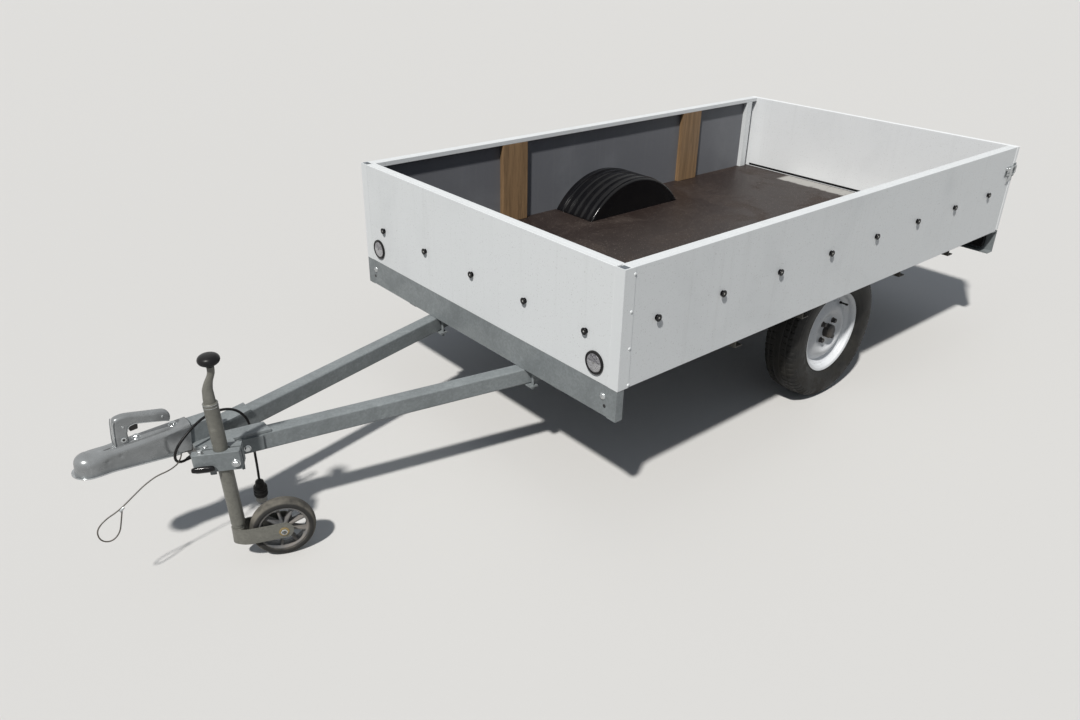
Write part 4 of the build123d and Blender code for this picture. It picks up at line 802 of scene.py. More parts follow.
for name, side in zip(("left", "right"), sides):
    body, wheel, outward = "wheel_" + name, np.array([axle_x, side * wheel_y, wheel_radius]), (0, side, 0)
    piece("tread_" + name, [tyre_ring(wheel, side)], "tyre_rubber", body, "tyre_" + name, crease=28)
    shells = [lathe(np.vstack(pair), wheel, outward, 120, ring=True)
              for pair in ((rim_line, rim_under), (disc_line, disc_under))]
    piece("dish_" + name, shells, "rim_white", body, "rim_" + name, crease=40)
    stud_angles = np.pi / 4 + np.arange(4) * np.pi / 2
    studs = around(wheel + [0, side * 0.034, 0], 0.050, ahead_way, up_way, stud_angles)
    heads = [lathe(bolt_seat, at, outward, 24) for at in studs]
    heads += [lathe(hex_head, at, outward, 6) for at in studs]
    piece("wheel_bolts_" + name, heads + [lathe(cap_line, wheel, outward, 48)], "hub_dark", body)
    valve_at = around(wheel + [0, side * 0.030, 0], 0.128, ahead_way, up_way, [2.2])[0]
    piece("valve_" + name, [lathe(valve_line, valve_at, outward, 14)], "black_rubber", body)
print("two road wheels")

# %% [markdown]
# ## Cover knobs and front reflectors
#
# A knob is a small mushroom: a foot, a waist and a dished head with a pale screw in the middle. All knobs
# come from one profile and one table of places, which the solid's own spacing gives. The reflector's lens
# is a shallow cap over rows of small prisms; its grey is a painted reflection, darker above and brighter
# below, with painted glints.

# %% Knobs and reflectors
knob_line = mm((0, 0), (0, 9.8), (1.4, 9.8), (3.4, 6.8), (6.6, 7.2), (7.8, 11.8), (9.4, 12.4), (11, 11.8),
               (11.9, 9.6), (11.2, 6.2), (10.6, 5), (10.6, 0))
screw_line = mm((9.8, 0), (9.8, 3), (11.2, 2.8), (11.8, 1.6), (11.9, 0))
bed_length, first_knob, last_knob = 2.547, 0.154, 0.216
side_pitch = (bed_length - first_knob - last_knob) / 7
knob_places = [((bed_front - first_knob - i * side_pitch, side * half_width, 0.715), (0, side, 0))
               for side in sides for i in range(8)]
knob_places += [((bed_front, (i - 2) * 0.300, 0.658), (1, 0, 0)) for i in range(5)]
piece("knob_bodies", [lathe(knob_line, at, way, 28) for at, way in knob_places], "black_plastic",
      stands_for="cover_knobs", crease=50)
knob_screws = [lathe(screw_line, at, way, 18) for at, way in knob_places]
piece("knob_screws", knob_screws, "plug_grey")

cup_line = mm(
    (0, 0), (0, 39.2), (1.4, 39.9), (6, 39.4), (7.8, 37.2), (8, 34.5), (6.6, 32.2), (4, 31.8), (4, 0))
reflector_places = [np.array([bed_front, side * 0.647, 0.566]) for side in sides]
piece("reflector_rings", [lathe(cup_line, at, ahead_way, 64) for at in reflector_places], "dark_plastic",
      stands_for="reflector_cups")


def prism_disc(centre, radius=0.0312, cells=9, lift=0.0009):
    """A disc whose height steps over corner cubes: |sin| ridges in three directions, flat at its edge."""
    r, t = np.meshgrid(np.linspace(0, 1, 46), np.linspace(0, 2 * np.pi, 120, endpoint=False), indexing="ij")
    u, v = radius * r * np.cos(t), radius * r * np.sin(t)
    ridges = sum(np.abs(np.sin(np.pi * cells * (u * math.cos(a) + v * math.sin(a)) / radius))
                 for a in (0.0, 2.094, 4.189))
    height = 0.0016 * (1 - r**2) + lift * ridges * (r < 0.97) / 3
    top, under = (centre + np.stack([h, u, v], -1) for h in (height, np.full_like(height, -0.0012)))
    return grid(np.concatenate([top, under[::-1]]), round_v=True)


def clear_lens(tree, place, colour):
    """A clear prism lens over a mirror, painted darker above and brighter below as a reflection, with painted
    glints between prisms.
    """
    # painted reflection: the lens is coloured darker above its middle and brighter below
    half = span(tree, along_axis(tree, place, 2), 0.5715, 0.5675)
    # painted glints: random cells that tint the lens pale
    painted_glint_cells = put(tree, "TexVoronoi", {"Vector": place, "Scale": 260.0}).outputs[1]
    shade = put(tree, "SeparateColor", {0: painted_glint_cells}).outputs[0]
    tint = colours(tree, half, (0.10, 0.095, 0.115), (0.33, 0.33, 0.345))
    tint = tinted(tree, tint, shade, 0.55, (0.55, 0.55, 0.56))
    return {"Base Color": tint, "Roughness": span(tree, shade, to_low=0.10, to_high=0.30)}


finish("reflector_clear", (0.3, 0.3, 0.3), 0.15, clear_lens, 0.45, coat=0.8)
piece("reflector_faces", [prism_disc(at + [0.0058, 0, 0]) for at in reflector_places], "reflector_clear",
      stands_for="reflector_lenses", crease=20)
dot_line = mm((6.8, 0), (6.8, 3), (8.4, 2.7), (8.8, 0))
piece("reflector_dots", [lathe(dot_line, at, ahead_way, 20) for at in reflector_places], "shaded_recess")
print(len(knob_places), "knobs and", len(reflector_places), "reflectors")

# %% [markdown]
# ## Coupling and its lever
#
# The coupling is a pressed shell. Its plan is a narrow U with a round nose; at each point of the U the wall
# rises, turns over a soft shoulder and runs in to the middle line. A lip runs round its foot, and small
# dents are pressed into its side in two spots. The lever is one folded sheet too: its rows run along a bent
# spine, from one cheek over a rounded back to the other cheek.

# %% Coupling
pitch_up = math.radians(5.2)
c_origin = np.array([1.652, 0.0, 0.3573])
c_along, c_left = np.array([math.cos(pitch_up), 0, math.sin(pitch_up)]), np.array([0.0, 1.0, 0.0])
c_up = np.array([-math.sin(pitch_up), 0, math.cos(pitch_up)])
dome_s, dome_r, body_half, rear_h, nose_h = mm(278.34, 38, 30.3, 91, 57)


def on_coupling(s, y, w):
    """Places from (along, left, up) in the coupling's own pitched frame."""
    s, y, w = np.broadcast_arrays(s, y, w)
    return c_origin + s[..., None] * c_along + y[..., None] * c_left + w[..., None] * c_up


def plan(swell=0.0):
    """Half of the U from the rear to the nose, (along, half width), with each place's spine point."""
    s = np.linspace(0, dome_s, 110)
    ease = np.clip((s - 0.215) / (dome_s - 0.215), 0, 1)
    y = body_half + swell * np.clip((s - 0.028) / 0.012, 0, 1)
    y = y + (dome_r - body_half) * ease**2 * (3 - 2 * ease)
    t = np.linspace(0, np.pi / 2, 20)[1:]
    reach = dome_r + swell
    spine = np.append(s, np.full(len(t), dome_s))
    return np.append(s, dome_s + reach * np.sin(t)), np.append(y, reach * np.cos(t)), spine


def coupling_shell():
    """Wall, rounded shoulder and crown for every place on the U, mirrored to the other side."""
    s, y, spine = plan()
    height = np.interp(spine, [0, dome_s], [rear_h, nose_h])
    round_r = np.interp(s, [0, 0.05, 0.20, dome_s, dome_s + dome_r], mm(12, 14, 18, 25, 25))
    wall = np.linspace(0, 1, 26)[:, None] * (height - round_r)
    dent_size, dent_depth = 0.0065, 0.0022
    dent = sum(dent_depth * np.exp(-((s - a) / dent_size) ** 2 - ((wall - b) / dent_size) ** 2)
               for a, b in mm((234, 34), (198, 41)))
    arc = np.linspace(0, np.pi / 2, 9)[1:, None]
    dist = np.maximum(np.hypot(s - spine, y), 1e-6)
    arc_f = 1 - round_r / dist * (1 - np.cos(arc))
    inwards = np.linspace(1, 0, 8)[1:, None]
    f = np.vstack([1 - dent / dist, arc_f, inwards * arc_f[-1]])
    crown = height + 0.0012 * (1 - inwards**2)
    w = np.vstack([wall, height - round_r + round_r * np.sin(arc), crown])
    half = on_coupling(spine + (s - spine) * f, y * f, w)
    return np.concatenate([half, half[::-1] * [1, -1, 1]])


shell_points = coupling_shell()
piece("coupling_shell", [grid(shell_points)], "coupling_zinc", stands_for="coupling", crease=50, shell=0.0035,
      inside=tuple(on_coupling(0.15, 0.0, 0.03)))


def u_line(s, y):
    """The whole U, from the rear of one side round the nose to the rear of the other."""
    return np.vstack([np.column_stack([s, y]), np.column_stack([s, -y])[::-1]])


s, y, _ = plan()
s_out, y_out, _ = plan(swell=0.0082)
inner_line, outer_line = u_line(s, y - 0.0015), u_line(s_out, y_out)
soft_line = outer_line - np.sign(outer_line[:, 1:]) * [0.0, 0.001]
lip_lines = [inner_line, soft_line, outer_line, outer_line, soft_line, inner_line]
lip = [on_coupling(line[:, 0], line[:, 1], w) for line, w in zip(lip_lines, mm(0.2, 0, 1.4, 3, 4, 4.2))]
# the lip takes the bright zinc: a painted highlight along the coupling's foot
piece("coupling_lip", [capped(np.stack(lip, 1))], "zinc_bright", crease=40)

top_tilt = math.atan((nose_h - rear_h) / dome_s)
top_along = math.cos(top_tilt) * c_along + math.sin(top_tilt) * c_up
top_up = -math.sin(top_tilt) * c_along + math.cos(top_tilt) * c_up


def on_top(s, y, lift=0.0):
    """A place on the coupling's sloping top."""
    return on_coupling(s, y, rear_h + (nose_h - rear_h) * s / dome_s) + lift * top_up


def bolt(at, way, size, tall):
    """A hexagon head on a washer that is about 30 percent wider."""
    head = [(0.0015, 0), (0.0015, size), (tall - 0.0012, size), (tall, size * 0.86), (tall, 0)]
    washer = [(0, 0), (0, size * 1.28), (0.0012, size * 1.32), (0.0018, size * 1.26), (0.0018, 0)]
    return [lathe(head, at, way, 6), lathe(washer, at, way, 28)]


coupling_bolts = [part for s in (0.042, 0.146) for part in bolt(on_top(s, 0.0), top_up, 0.0098, 0.0085)]
piece("coupling_bolts", coupling_bolts, "zinc_bright")
# painted shade: the window is a dark slab, almost flush with the top, in place of the opening
slot_outline = eased(rectangle((-0.010, -0.0045), (0.010, 0.0045)), 0.0042)
slot_block = prism(slot_outline, on_top(0.229, 0.0075, -0.0030), top_along, c_left, 0.0033)
piece("coupling_window", [slot_block], "hub_dark")

# each row of the lever in millimetres: outer edge along and up, then inner edge along and up
lever_at, lever_half, lever_turn = np.array([1.814, 0.0, 0.4213]), 0.014, 0.0105
rows = spline(mm(
    (38, 0, 0, 0), (38, 33, 0, 33), (34.5, 76, 0, 50), (32.2, 91, -3, 62), (26.5, 102.5, -8, 70),
    (12, 106.6, -18, 73.5), (-8, 106.2, -30, 73.3), (-60, 95.5, -66, 64.5), (-100, 86.8, -96, 56.8),
    (-113, 82.2, -104.5, 54.5), (-121.4, 73.5, -110.5, 52.2), (-124.2, 63, -114.5, 50.6),
    (-121.6, 54, -116.8, 50.2), (-117.2, 50.3, -117, 50.1)), 6)
outer, inner = rows[:, None, :2], rows[:, None, 2:]
deep = np.linalg.norm(outer - inner, axis=-1)
turn = np.minimum(lever_turn, 0.6 * deep)
arc = np.linspace(0, np.pi / 2, 9)[None, 1:]
reach = np.hstack([np.linspace(0, 1, 8)[None] * (deep - turn), deep - turn + turn * np.sin(arc), deep])
half_y = np.hstack([np.full((1, 8), -lever_half), -lever_half + lever_turn * (1 - np.cos(arc)), [[0.0]]])
reach, half_y = np.hstack([reach, reach[:, -2::-1]]), np.hstack([half_y, -half_y[:, -2::-1]])
flat = inner + (outer - inner) / deep[..., None] * reach[..., None]
lever_points = lever_at + np.stack([flat[..., 0], np.broadcast_to(half_y, reach.shape), flat[..., 1]], -1)
piece("lever_shell", [grid(lever_points)], "coupling_zinc", stands_for="coupling_lever", crease=50,
      shell=0.0025, inside=tuple(lever_at + [-0.05, 0, 0.08]))
# the hems are beads in bright zinc: painted highlights along the lever's edges
hems = [sweep(circle(0.0016, 10), lever_at + np.insert(line, 1, y, axis=1), c_left)
        for line in (rows[14:-4, 2:], rows[:22, :2]) for y in (-lever_half - 0.0002, lever_half + 0.0002)]
piece("lever_hems", hems, "zinc_bright")


def on_cheeks(profile, x, z, steps=20):
    """The same small lathe on both cheeks of the lever."""
    return [lathe(profile, lever_at + [x, way * lever_half, z], (0, way, 0), steps) for way in sides]


pin_head = mm((0, 0), (0, 8.5), (3, 8.2), (3.8, 6.6), (3.8, 4), (2, 4), (2, 0))
pin_socket = mm((0, 0), (0, 4.1), (3, 4.1), (3, 0))
rivet_head = mm((0, 0), (0, 3.6), (1, 3.2), (1.6, 1.8), (1.7, 0))
lever_pins = on_cheeks(pin_head, 0.0135, 0.0350)
lever_pins += on_cheeks(rivet_head, 0.0080, 0.0742) + on_cheeks(rivet_head, -0.1010, 0.0690)
piece("lever_pins", lever_pins, "zinc_bright")
# painted shade: dark plugs fill the hollows of the pin heads
piece("pin_sockets", on_cheeks(pin_socket, 0.0135, 0.0350, 16), "hub_dark")
catch_outline = eased(mm((-31, 53), (-9, 51.5), (-7, 73), (-33, 71)), 0.003)
catch = prism(catch_outline, lever_at + [0, 0.0095, 0], ahead_way, up_way, 0.019)
piece("lever_catch", [catch], "hub_dark", bevel=0.0008)
print("coupling shell of", shell_points.shape[0], "by", shell_points.shape[1], "points")

# %% [markdown]
# ## Jockey post
#
# The post leans a little in the plane of its wheel. The outer tube and the inner leg keep their solid
# shapes; two thin bands, a lid, a cranked handle and a flat ball grip are added on top. The clamp grips the
# tube with a block whose bore follows it, and its handle is a slightly flattened grip.

# %% Jockey post
yaw_j, lean_j = math.radians(20.0), math.radians(2.6)
trail = np.array([-math.cos(yaw_j), math.sin(yaw_j), 0.0])
side_j = np.array([math.sin(yaw_j), math.cos(yaw_j), 0.0])
post = math.cos(lean_j) * up_way - math.sin(lean_j) * trail
wheel_ground = np.array([1.478, 0.206, 0.0])
fork_trail = 0.1214
post_ground = wheel_ground - trail * fork_trail
post_back = unit(np.cross(side_j, post))
post_back = post_back if post_back @ trail > 0 else -post_back
tube_top = 0.5663


def on_post(h, back=0.0):
    """A place at a height along the post, moved back."""
    return post_ground + h * post + back * post_back


# the bands are bright zinc: painted highlights round the top of the tube
band = mm((0, 21.1), (0, 21.9), (0.3, 22.1), (1, 22.1), (1.3, 21.9), (1.3, 21.1))
bands = [lathe(band, on_post(tube_top + h), post, 56, ring=True) for h in (-0.0103, -0.0013)]
piece("tube_bands", bands, "zinc_bright", "jockey_post")
lid = mm((0, 0), (0, 20.9), (1.6, 20.3), (3, 18.8), (3, 0))
piece("tube_lid", [lathe(lid, on_post(tube_top), post, 56)], "dull_zinc", "jockey_post")

# each row of the crank in millimetres: height over the tube, offset back, half length, half width
crank = spline(mm(
    (2, 0, 17, 15), (14, 0, 16.8, 14.2), (30, 0.8, 15.8, 11.6), (45, 2, 14.8, 10), (66, 8.5, 12.6, 9.4),
    (84, 17.2, 11, 9), (94.5, 20.8, 10.5, 9), (104.5, 22, 10.5, 9.6), (112.5, 22, 10.5, 10)), 6)[..., None]
oval = circle(1.0, 32)
crank_points = on_post(0.0) + (tube_top + crank[:, :1]) * post
crank_points = crank_points + (crank[:, 1:2] + crank[:, 2:3] * oval[None, :, :1]) * post_back
crank_points = crank_points + crank[:, 3:] * oval[None, :, 1:] * side_j
piece("crank_arm", [capped(crank_points)], "dull_zinc", "jockey_post", "jockey_crank", crease=50)
ball = spline(mm(
    (-21.4, 0), (-21.4, 11.6), (-16.5, 11.8), (-15.3, 16), (-12.8, 22.6), (-7.8, 28.6), (0, 31.4),
    (7.8, 28.8), (12.8, 23), (15.1, 15.8), (16.2, 7.5), (16.4, 0)), 5)
grip_place = on_post(tube_top + 0.134, 0.022)
piece("ball_grip", [lathe(ball, grip_place, post)], "dark_plastic", "jockey_post", "jockey_knob", crease=50)

clamp_turn, clamp_height = math.radians(-30.0), 0.3513
clamp_along = np.array([math.cos(clamp_turn), math.sin(clamp_turn), 0.0])
clamp_along = unit(clamp_along - post * (clamp_along @ post))
clamp_side = unit(np.cross(post, clamp_along))
clamp_at = post_ground + post * (clamp_height / math.cos(lean_j))


def on_clamp(along, out, h):
    """A place in the clamp's frame: along its face, out towards the near side, up the post."""
    return clamp_at + along * clamp_along + out * clamp_side + h * post


bore_radius, bore_edge = 0.0214, 0.145
bore_angles = np.linspace(np.pi - bore_edge, bore_edge, 25)
bore = bore_radius * np.column_stack([np.cos(bore_angles), np.sin(bore_angles)])
corner_reach = np.array([[0.0045], [0.0130], [0.0060], [0.0045]])
rounded_corners = eased(mm((82, 3), (82, 28), (-56, 28), (-56, 3)), corner_reach)[7:-7]
front_outline = np.vstack([bore, mm((81, 3)), rounded_corners, mm((-55, 3))])
tab_outline = eased(rectangle((0.023, -0.017), (0.041, 0.004)), 0.002)
grip_block = prism(front_outline, clamp_at, clamp_along, clamp_side, 0.062)
tab = prism(tab_outline, on_clamp(0, 0.0115, 0), clamp_along, post, -0.005)
piece("clamp_front", [grip_block, tab], "galvanised_steel", stands_for="jockey_clamp", bevel=0.0030)

dome_nut = mm((0, 0), (0, 8.5), (2, 8.3), (4.5, 6.2), (5.8, 3), (6, 0))
clamp_bolts = bolt(on_clamp(-0.040, 0.028, 0.022), clamp_side, 0.0100, 0.008)
clamp_bolts += bolt(on_clamp(0.055, 0.0165, 0.062), post, 0.0080, 0.009)
clamp_bolts.append(lathe(dome_nut, on_clamp(0.046, -0.014, 0.062), post, 28))
bracket_face, bracket_way = np.array([1.511, 0.0935, 0.3390]), (0.22903, 1, 0)
clamp_bolts += bolt(bracket_face, bracket_way, 0.0085, 0.007)
piece("clamp_bolts", clamp_bolts, "zinc_bright")

grip_mid = sum(corners("clamp_handle")) / 2
grip_line = spline(mm(
    (-32.5, 0), (-32, 4), (-29.5, 7.5), (-22, 9.5), (0, 10), (20, 9.2), (30, 7.2), (32.2, 4), (32.5, 0)), 6)
grip_points, grip_faces = lathe(grip_line, grip_mid, clamp_along, 32)
outwards, flattened = (grip_points - grip_mid) @ clamp_side, 0.2
grip_points = grip_points - flattened * outwards[:, None] * clamp_side
piece("clamp_grip", [(grip_points, grip_faces)], "black_plastic", stands_for="clamp_handle", crease=60)
print("post, crank and clamp; the clamp stands", round(float(clamp_at[2]), 4), "m above the ground")

# %% [markdown]
# ## Jockey fork and wheel
#
# The fork is one flat strap bent round the leg's foot, with round tips. The small wheel has a domed tyre
# and nine tapered spokes, and its tread is paler than its sides. The leg carries a small pressed oval.

# %% Jockey fork and wheel
inner_half, strap_t, fork_mid, fork_half, arm_tip, knee = mm(30, 4, 103, 27, 30, 100)
middle_half = inner_half + strap_t / 2
tip = np.linspace(arm_tip, arm_tip - fork_half, 12)
half_height = np.sqrt(np.maximum(0.0, 1 - ((tip - (arm_tip - fork_half)) / fork_half) ** 2)) * fork_half
turned = mm((-118, 27.5), (-134, 19), (-144.5, 10))
bend = spline(np.vstack([[(-knee, middle_half)], turned, mm((-148, 0)), (turned * [1, -1])[::-1],
                         [(-knee, -middle_half)]]), 8)
arm = np.column_stack([np.append(tip, -0.04), np.full(13, middle_half)])
line = np.vstack([arm, bend, (arm * [1, -1])[::-1]])
heights = np.concatenate([half_height, np.full(len(bend) + 2, fork_half), half_height[::-1]])
heights = np.maximum(heights, 0.0015)
path = wheel_ground + fork_mid * up_way + line[:, :1] * trail + line[:, 1:] * side_j
flat = eased(rectangle((-strap_t / 2, -1), (strap_t / 2, 1)), 0.0008, 3)
fork_strap = sweep(np.stack([flat * [1, h] for h in heights]), path, up_way)
boss = lathe(mm((78, 0), (78, 18.5), (128.5, 18.8), (130, 17.5), (130, 0)), post_ground, post, 40)
stem = lathe(mm((129, 0), (129, 8), (178, 8), (180, 6), (180, 0)), post_ground, post, 24)
axle_at = wheel_ground + 0.100 * up_way
axle_line = mm((-39.5, 0), (-39.5, 7), (-38, 7.8), (38, 7.8), (39.5, 7), (39.5, 0))
fork_parts = [fork_strap, boss, stem, lathe(axle_line, axle_at, side_j, 24)]
piece("fork_strap", fork_parts, "dull_zinc", "jockey_fork", "jockey_fork", crease=40)
washer_line = mm((0, 0), (0, 15), (1.2, 15.5), (1.8, 14.8), (1.8, 0))
nut_line = mm((1.8, 0), (1.8, 10.5), (4.6, 10.8), (5.5, 9.5), (5.5, 0))
for name, line, look, steps in (("fork_washers", washer_line, "zinc_yellow", 36),
                                ("fork_nuts", nut_line, "zinc_bright", 6)):
    both = [lathe(line, axle_at + way * (inner_half + strap_t) * side_j, way * side_j, steps)
            for way in sides]
    piece(name, both, look, "jockey_fork")


def worn_tread(tree, place, colour):
    """Tread that dust and wear have made pale, between sides that keep the rubber's own dark colour."""
    dust = effect(tree, "road", place)["Dust"]
    across = put(tree, "VectorMath", {0: place, 1: tuple(side_j)}, operation="DOT_PRODUCT").outputs["Value"]
    aside = sums(tree, "ABSOLUTE", sums(tree, "SUBTRACT", across, float(axle_at @ side_j)))
    flank = tinted(tree, colour, dust, 0.3, (0.085, 0.082, 0.076))
    tread = tinted(tree, (0.060, 0.057, 0.051), dust, 0.7, (0.21, 0.195, 0.165))
    return {"Base Color": colours(tree, span(tree, aside, 0.0226, 0.0190), flank, tread),
            "Roughness": span(tree, dust, to_low=0.6, to_high=0.9)}


finish("jockey_rubber", (0.020, 0.0198, 0.0195), 0.75, worn_tread, shine=0.25)
half_tyre = mm((-21.5, 78.2), (-22.6, 80), (-23, 85), (-20.5, 92.5), (-13.5, 97.5))
small_tyre = spline(np.vstack([half_tyre, mm((0, 100)), (half_tyre * [-1, 1])[::-1]]), 6)
tyre_lathe = lathe(small_tyre, axle_at, side_j, 96, ring=True)
piece("small_tyre", [tyre_lathe], "jockey_rubber", "jockey_wheel", "jockey_tyre", crease=50)
rim_ring = mm(
    (-19, 77.6), (19, 77.6), (20, 76), (19.6, 72.2), (16.5, 70), (-16.5, 70), (-19.6, 72.2), (-20, 76))
boss_ring = mm((-19, 8.2), (-19, 16.5), (-12, 18), (12, 18), (19, 16.5), (19, 8.2))
rim_parts = [lathe(rim_ring, axle_at, side_j, 96, ring=True), lathe(boss_ring, axle_at, side_j, ring=True)]
spoke_outline = eased(rectangle((-1, -1), (1, 1)), 0.5, 4)
spoke_reach = np.linspace(0.015, 0.0725, 8)
spoke_wide = np.interp(spoke_reach, mm(15, 45, 72.5), mm(5.8, 3.6, 5))
spoke_deep = np.interp(spoke_reach, mm(15, 72.5), mm(14, 11.5))
spoke_lines = spoke_outline * np.stack([spoke_wide, spoke_deep], 1)[:, None]
for out in around(np.zeros(3), 1.0, -trail, up_way, np.arange(9) * 2 * np.pi / 9):
    rim_parts.append(sweep(spoke_lines, axle_at + spoke_reach[:, None] * out, side_j))
piece("small_rim", rim_parts, "jockey_rim_grey", "jockey_wheel", "jockey_rim", crease=40)

leg_r, mark_wide, mark_tall, mark_turn, mark_height = 0.0189, 0.0065, 0.0225, -0.15, 0.277
a, t = np.meshgrid(np.linspace(0, 1, 12), np.linspace(0, 2 * np.pi, 40, endpoint=False), indexing="ij")
angle, height = mark_wide / leg_r * a * np.cos(t) + mark_turn, mark_height + mark_tall * a * np.sin(t)


def on_leg(radius):
    """The oval's places on a cylinder about the post: radius·(cos·side - sin·back) at each height."""
    outward = np.cos(angle)[..., None] * side_j - np.sin(angle)[..., None] * post_back
    return post_ground + height[..., None] * post + radius * outward


recess = np.concatenate([on_leg(leg_r + 0.0002), on_leg(leg_r - 0.0010)[::-1]])
piece("leg_recess", [grid(recess, round_v=True)], "shaded_recess", "jockey_leg")
print("jockey fork and wheel")

# %% [markdown]
# ## Latches, chassis bolts and rear lamps
#
# Each side has one over-centre latch: a base plate, a curved handle and a wire bail that reaches back towards
# the tailgate and stops short of it. The front crossmember has a dome bolt near each end, a hole in its end,
# drawn as a dark disc of painted shade, and small clips beneath it. The lamps get a ribbed lens. Their places
# come from the photograph where it shows them, and from the solids elsewhere.

# %% Latches
latch_x, latch_z = -1.8995, 0.800
plate_outline = eased(rectangle((-1.931, latch_z - 0.022), (-1.866, latch_z + 0.022)), 0.006)
rise = spline(mm((4.5, 18), (11, 12), (12.5, -6), (11.8, -26), (9, -40), (6, -46)), 6)
handle_section = eased(rectangle((-0.0115, -0.0012), (0.0115, 0.0012)), 0.0008, 3)[:, ::-1]
bail = spline(mm(
    (-1888, 10.5, -2), (-1892, 12, 16), (-1910, 11.8, 21), (-1938, 10, 21), (-1958.5, 6.8, 18),
    (-1961.2, 6, 6), (-1961.2, 6, -6), (-1958.5, 6.8, -14), (-1938, 10, -16), (-1912, 11.8, -14),
    (-1900, 12, -8)), 6)
dome_bolt = mm((0, 0), (0, 12.5), (1.6, 12.2), (4.2, 9.8), (6.2, 5.8), (7, 0))
hole = mm((0, 0), (0, 6.5), (0.4, 6.5), (0.4, 0))
latch_parts, bail_parts, crossmember_bolts, crossmember_holes = [], [], [], []
for side in sides:
    face = side * half_width
    latch_parts.append(prism(plate_outline, (0, face, 0), ahead_way, up_way, -side * 0.0025))
    handle_x = np.full(len(rise), latch_x)
    handle_path = np.column_stack([handle_x, face + side * rise[:, 0], latch_z + rise[:, 1]])
    latch_parts.append(sweep(handle_section, handle_path, ahead_way))
    for x in (-1.924, -1.873):
        latch_parts.append(lathe(dome_nut, (x, face + side * 0.0024, latch_z + 0.013), (0, side, 0), 20))
    bail_parts.append(sweep(circle(0.0019, 12), bail * [1, side, 1] + [0, face, latch_z], (0.05, 1, 0.02)))
    crossmember_bolts.append(lathe(dome_bolt, (bed_front, side * 0.689, 0.464), ahead_way, 28))
    # the hole is a thin dark disc on the crossmember's face: painted shade
    crossmember_holes.append(lathe(hole, (bed_front + 0.0001, side * 0.6985, 0.432), ahead_way, 20))
piece("latch_plates", latch_parts, "zinc_bright", stands_for="side_latches", bevel=0.0005)
piece("latch_bails", bail_parts, "zinc_bright")
piece("crossmember_bolts", crossmember_bolts, "zinc_bright", crease=50)
piece("crossmember_holes", crossmember_holes, "hub_dark")
clip_parts = [block((bed_front - back, y - 0.022, low), (bed_front - 0.010, y + 0.022, 0.3966))
              for y in (0.455, -0.431) for back, low in ((0.036, 0.3915), (0.013, 0.3860))]
piece("cable_clips", clip_parts, "galvanised_steel", bevel=0.0008)


lens_back, lens_bulge, rib_pitch = -1.9621, 0.0066, 0.005


def lamp_face(low_y, high_y, low_z=0.4195, high_z=0.4815, edge=0.006):
    """A lens: sqrt(1 - (1 - d)²) of the distance d from each edge lifts its middle; |sin| makes its ribs."""
    u, v = np.linspace(low_y, high_y, 101)[:, None], np.linspace(low_z, high_z, 32)[None]
    ribs = 0.0007 * np.abs(np.sin(np.pi * (u - low_y) / rib_pitch))
    dome_u = np.minimum(1, np.minimum(u - low_y, high_y - u) / edge)
    dome_v = np.minimum(1, np.minimum(v - low_z, high_z - v) / edge)
    lift = lens_bulge * np.sqrt(np.clip(1 - (1 - dome_u) ** 2, 0, 1))
    lift = lift * np.sqrt(np.clip(1 - (1 - dome_v) ** 2, 0, 1))
    out = -1.9622 - lift - ribs * (dome_u * dome_v)
    flat_back = np.full_like(out, lens_back)
    front, back = (np.stack(np.broadcast_arrays(x, u, v), -1) for x in (out, flat_back))
    return grid(np.concatenate([front, back[::-1]]), round_u=True)


lamp_faces = [lamp_face(*sorted((side * 0.505, side * 0.705))) for side in sides]
piece("lamp_faces", lamp_faces, "lamp_red", stands_for="lamp_lenses", crease=25)
print("latches, bolts, clips and lamp lenses")

# %% [markdown]
# ## Finishes on the solids that stay
#
# The rest of the solids already have their right shape, so they only get materials. The table lists them by
# look.

# %% Solids
solid_looks = {
    "galvanised_steel": ("front_crossmember", "rear_crossmember", "side_rails", "drawbar_left",
                         "drawbar_right", "drawbar_straps", "drawbar_head", "jockey_bracket", "axle_tube",
                         "tailgate_hinges", "tailgate_fittings"),
    "hub_dark": ("swing_arms", "hub_left", "hub_right"),
    "dull_zinc": ("jockey_outer_tube", "jockey_leg"),
    "dark_plastic": ("drawbar_caps", "lamp_housings"),
    # floor_bearers take the shaded recess look: painted shade under the bed
    "floor_brown": ("floor",), "post_steel": ("corner_posts",), "shaded_recess": ("floor_bearers",),
    "black_rubber": ("tailgate_seal",), "lamp_red": ("rear_triangles",),
}
dressed = []
for look, names in solid_looks.items():
    for node in names:
        nodes[node].data.materials.clear()
        nodes[node].data.materials.append(looks[look])
        dressed.append(node)
left_over = sorted(n for n, o in nodes.items() if not o.hide_render and n not in dressed)
print("solids dressed:", len(dressed), "left over:", left_over)

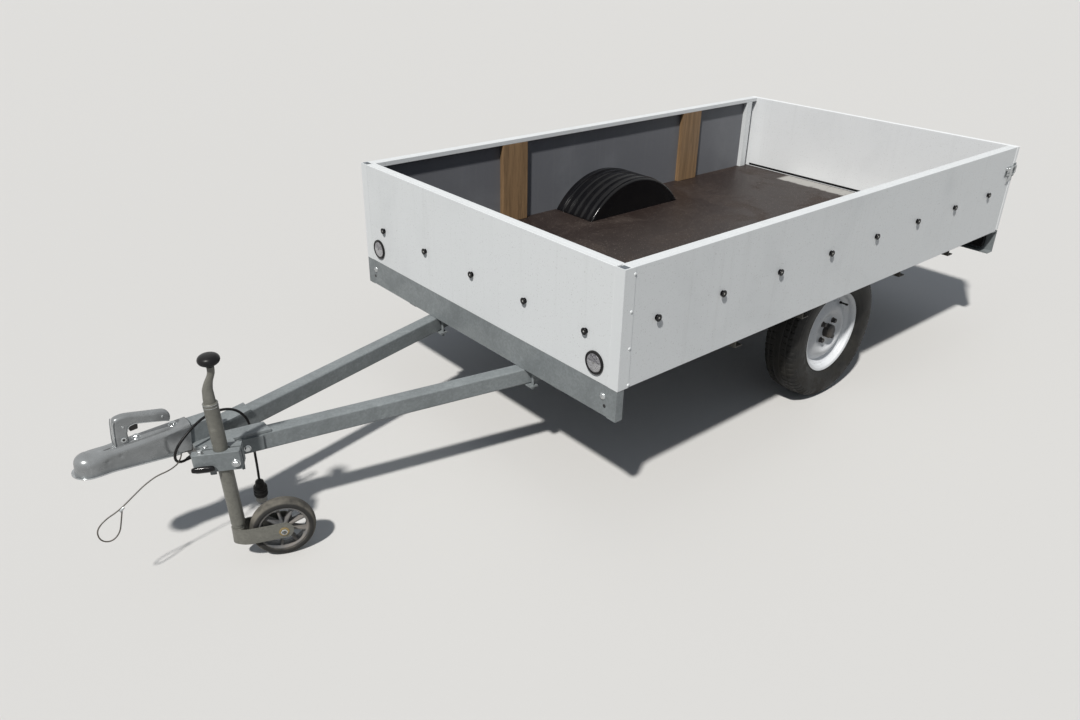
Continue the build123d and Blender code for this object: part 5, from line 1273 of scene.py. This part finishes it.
# %% [markdown]
# ## Light and floor
#
# The sun in the photograph stands high to the front left. A sun lamp with a soft edge takes its direction,
# so the front board is the brightest side and the shadow falls behind the drawbar. A wide, weak lamp on the
# near side and a pale sky keep the shadows open, as in a studio. The floor and the sky look pale, but
# scatter only as much light as a yard does, which keeps the contrast of the photograph.


# %% Light
def lamp(name, kind, place, way, energy, tint, **settings):
    """A lamp at a place that shines along a way."""
    light = bpy.data.lights.new(name, kind)
    light.energy, light.color = energy, tint
    for key, value in settings.items():
        setattr(light, key, value)
    turned = Vector(way).to_track_quat("-Z", "Y").to_matrix().to_4x4()
    added(name, light).matrix_world = Matrix.Translation(place) @ turned


to_sun = unit([0.654, 0.353, 1.0])
fill_place = np.array([3.0, 6.5, 3.2])
lamp("sun", "SUN", (0, 0, 0), -to_sun, 3.75, (1.0, 0.975, 0.94), angle=math.radians(3.0))
lamp("fill", "AREA", fill_place, [0, 0, 0.3] - fill_place, 15, (0.92, 0.96, 1.0), size=5.0)


def seen_directly(tree):
    """One for rays from the camera, a mirror or glass, and nought for light that is scattered."""
    rays = put(tree, "LightPath").outputs
    mirrored = sums(tree, "MAXIMUM", rays["Is Glossy Ray"], rays["Is Transmission Ray"])
    return sums(tree, "MAXIMUM", rays["Is Camera Ray"], mirrored)


def pale_floor(tree, place, colour):
    """The floor looks pale, but throws back only as much light as a yard's grey ground does."""
    return {"Base Color": colours(tree, seen_directly(tree), (0.20, 0.195, 0.185), colour)}


world = bpy.data.worlds.new("sky")
scene.world = world
world.use_nodes = True
air = world.node_tree
sky = colours(air, seen_directly(air), (0.155, 0.175, 0.205), (0.79, 0.795, 0.79))
air.links.new(sky, air.nodes["Background"].inputs["Color"])

floor_mesh = bpy.data.meshes.new("studio_floor")
floor_reach = 60.0
floor_corners = [(x, y, 0) for x, y in rectangle((-floor_reach, -floor_reach), (floor_reach, floor_reach))]
floor_mesh.from_pydata(floor_corners, [], [(0, 1, 2, 3)])
finish("studio_floor", (0.64, 0.635, 0.62), 0.8, pale_floor)
floor_mesh.materials.append(looks["studio_floor"])
added("studio_floor", floor_mesh)
scene.view_settings.view_transform = "Standard"
print("lights and floor ready")
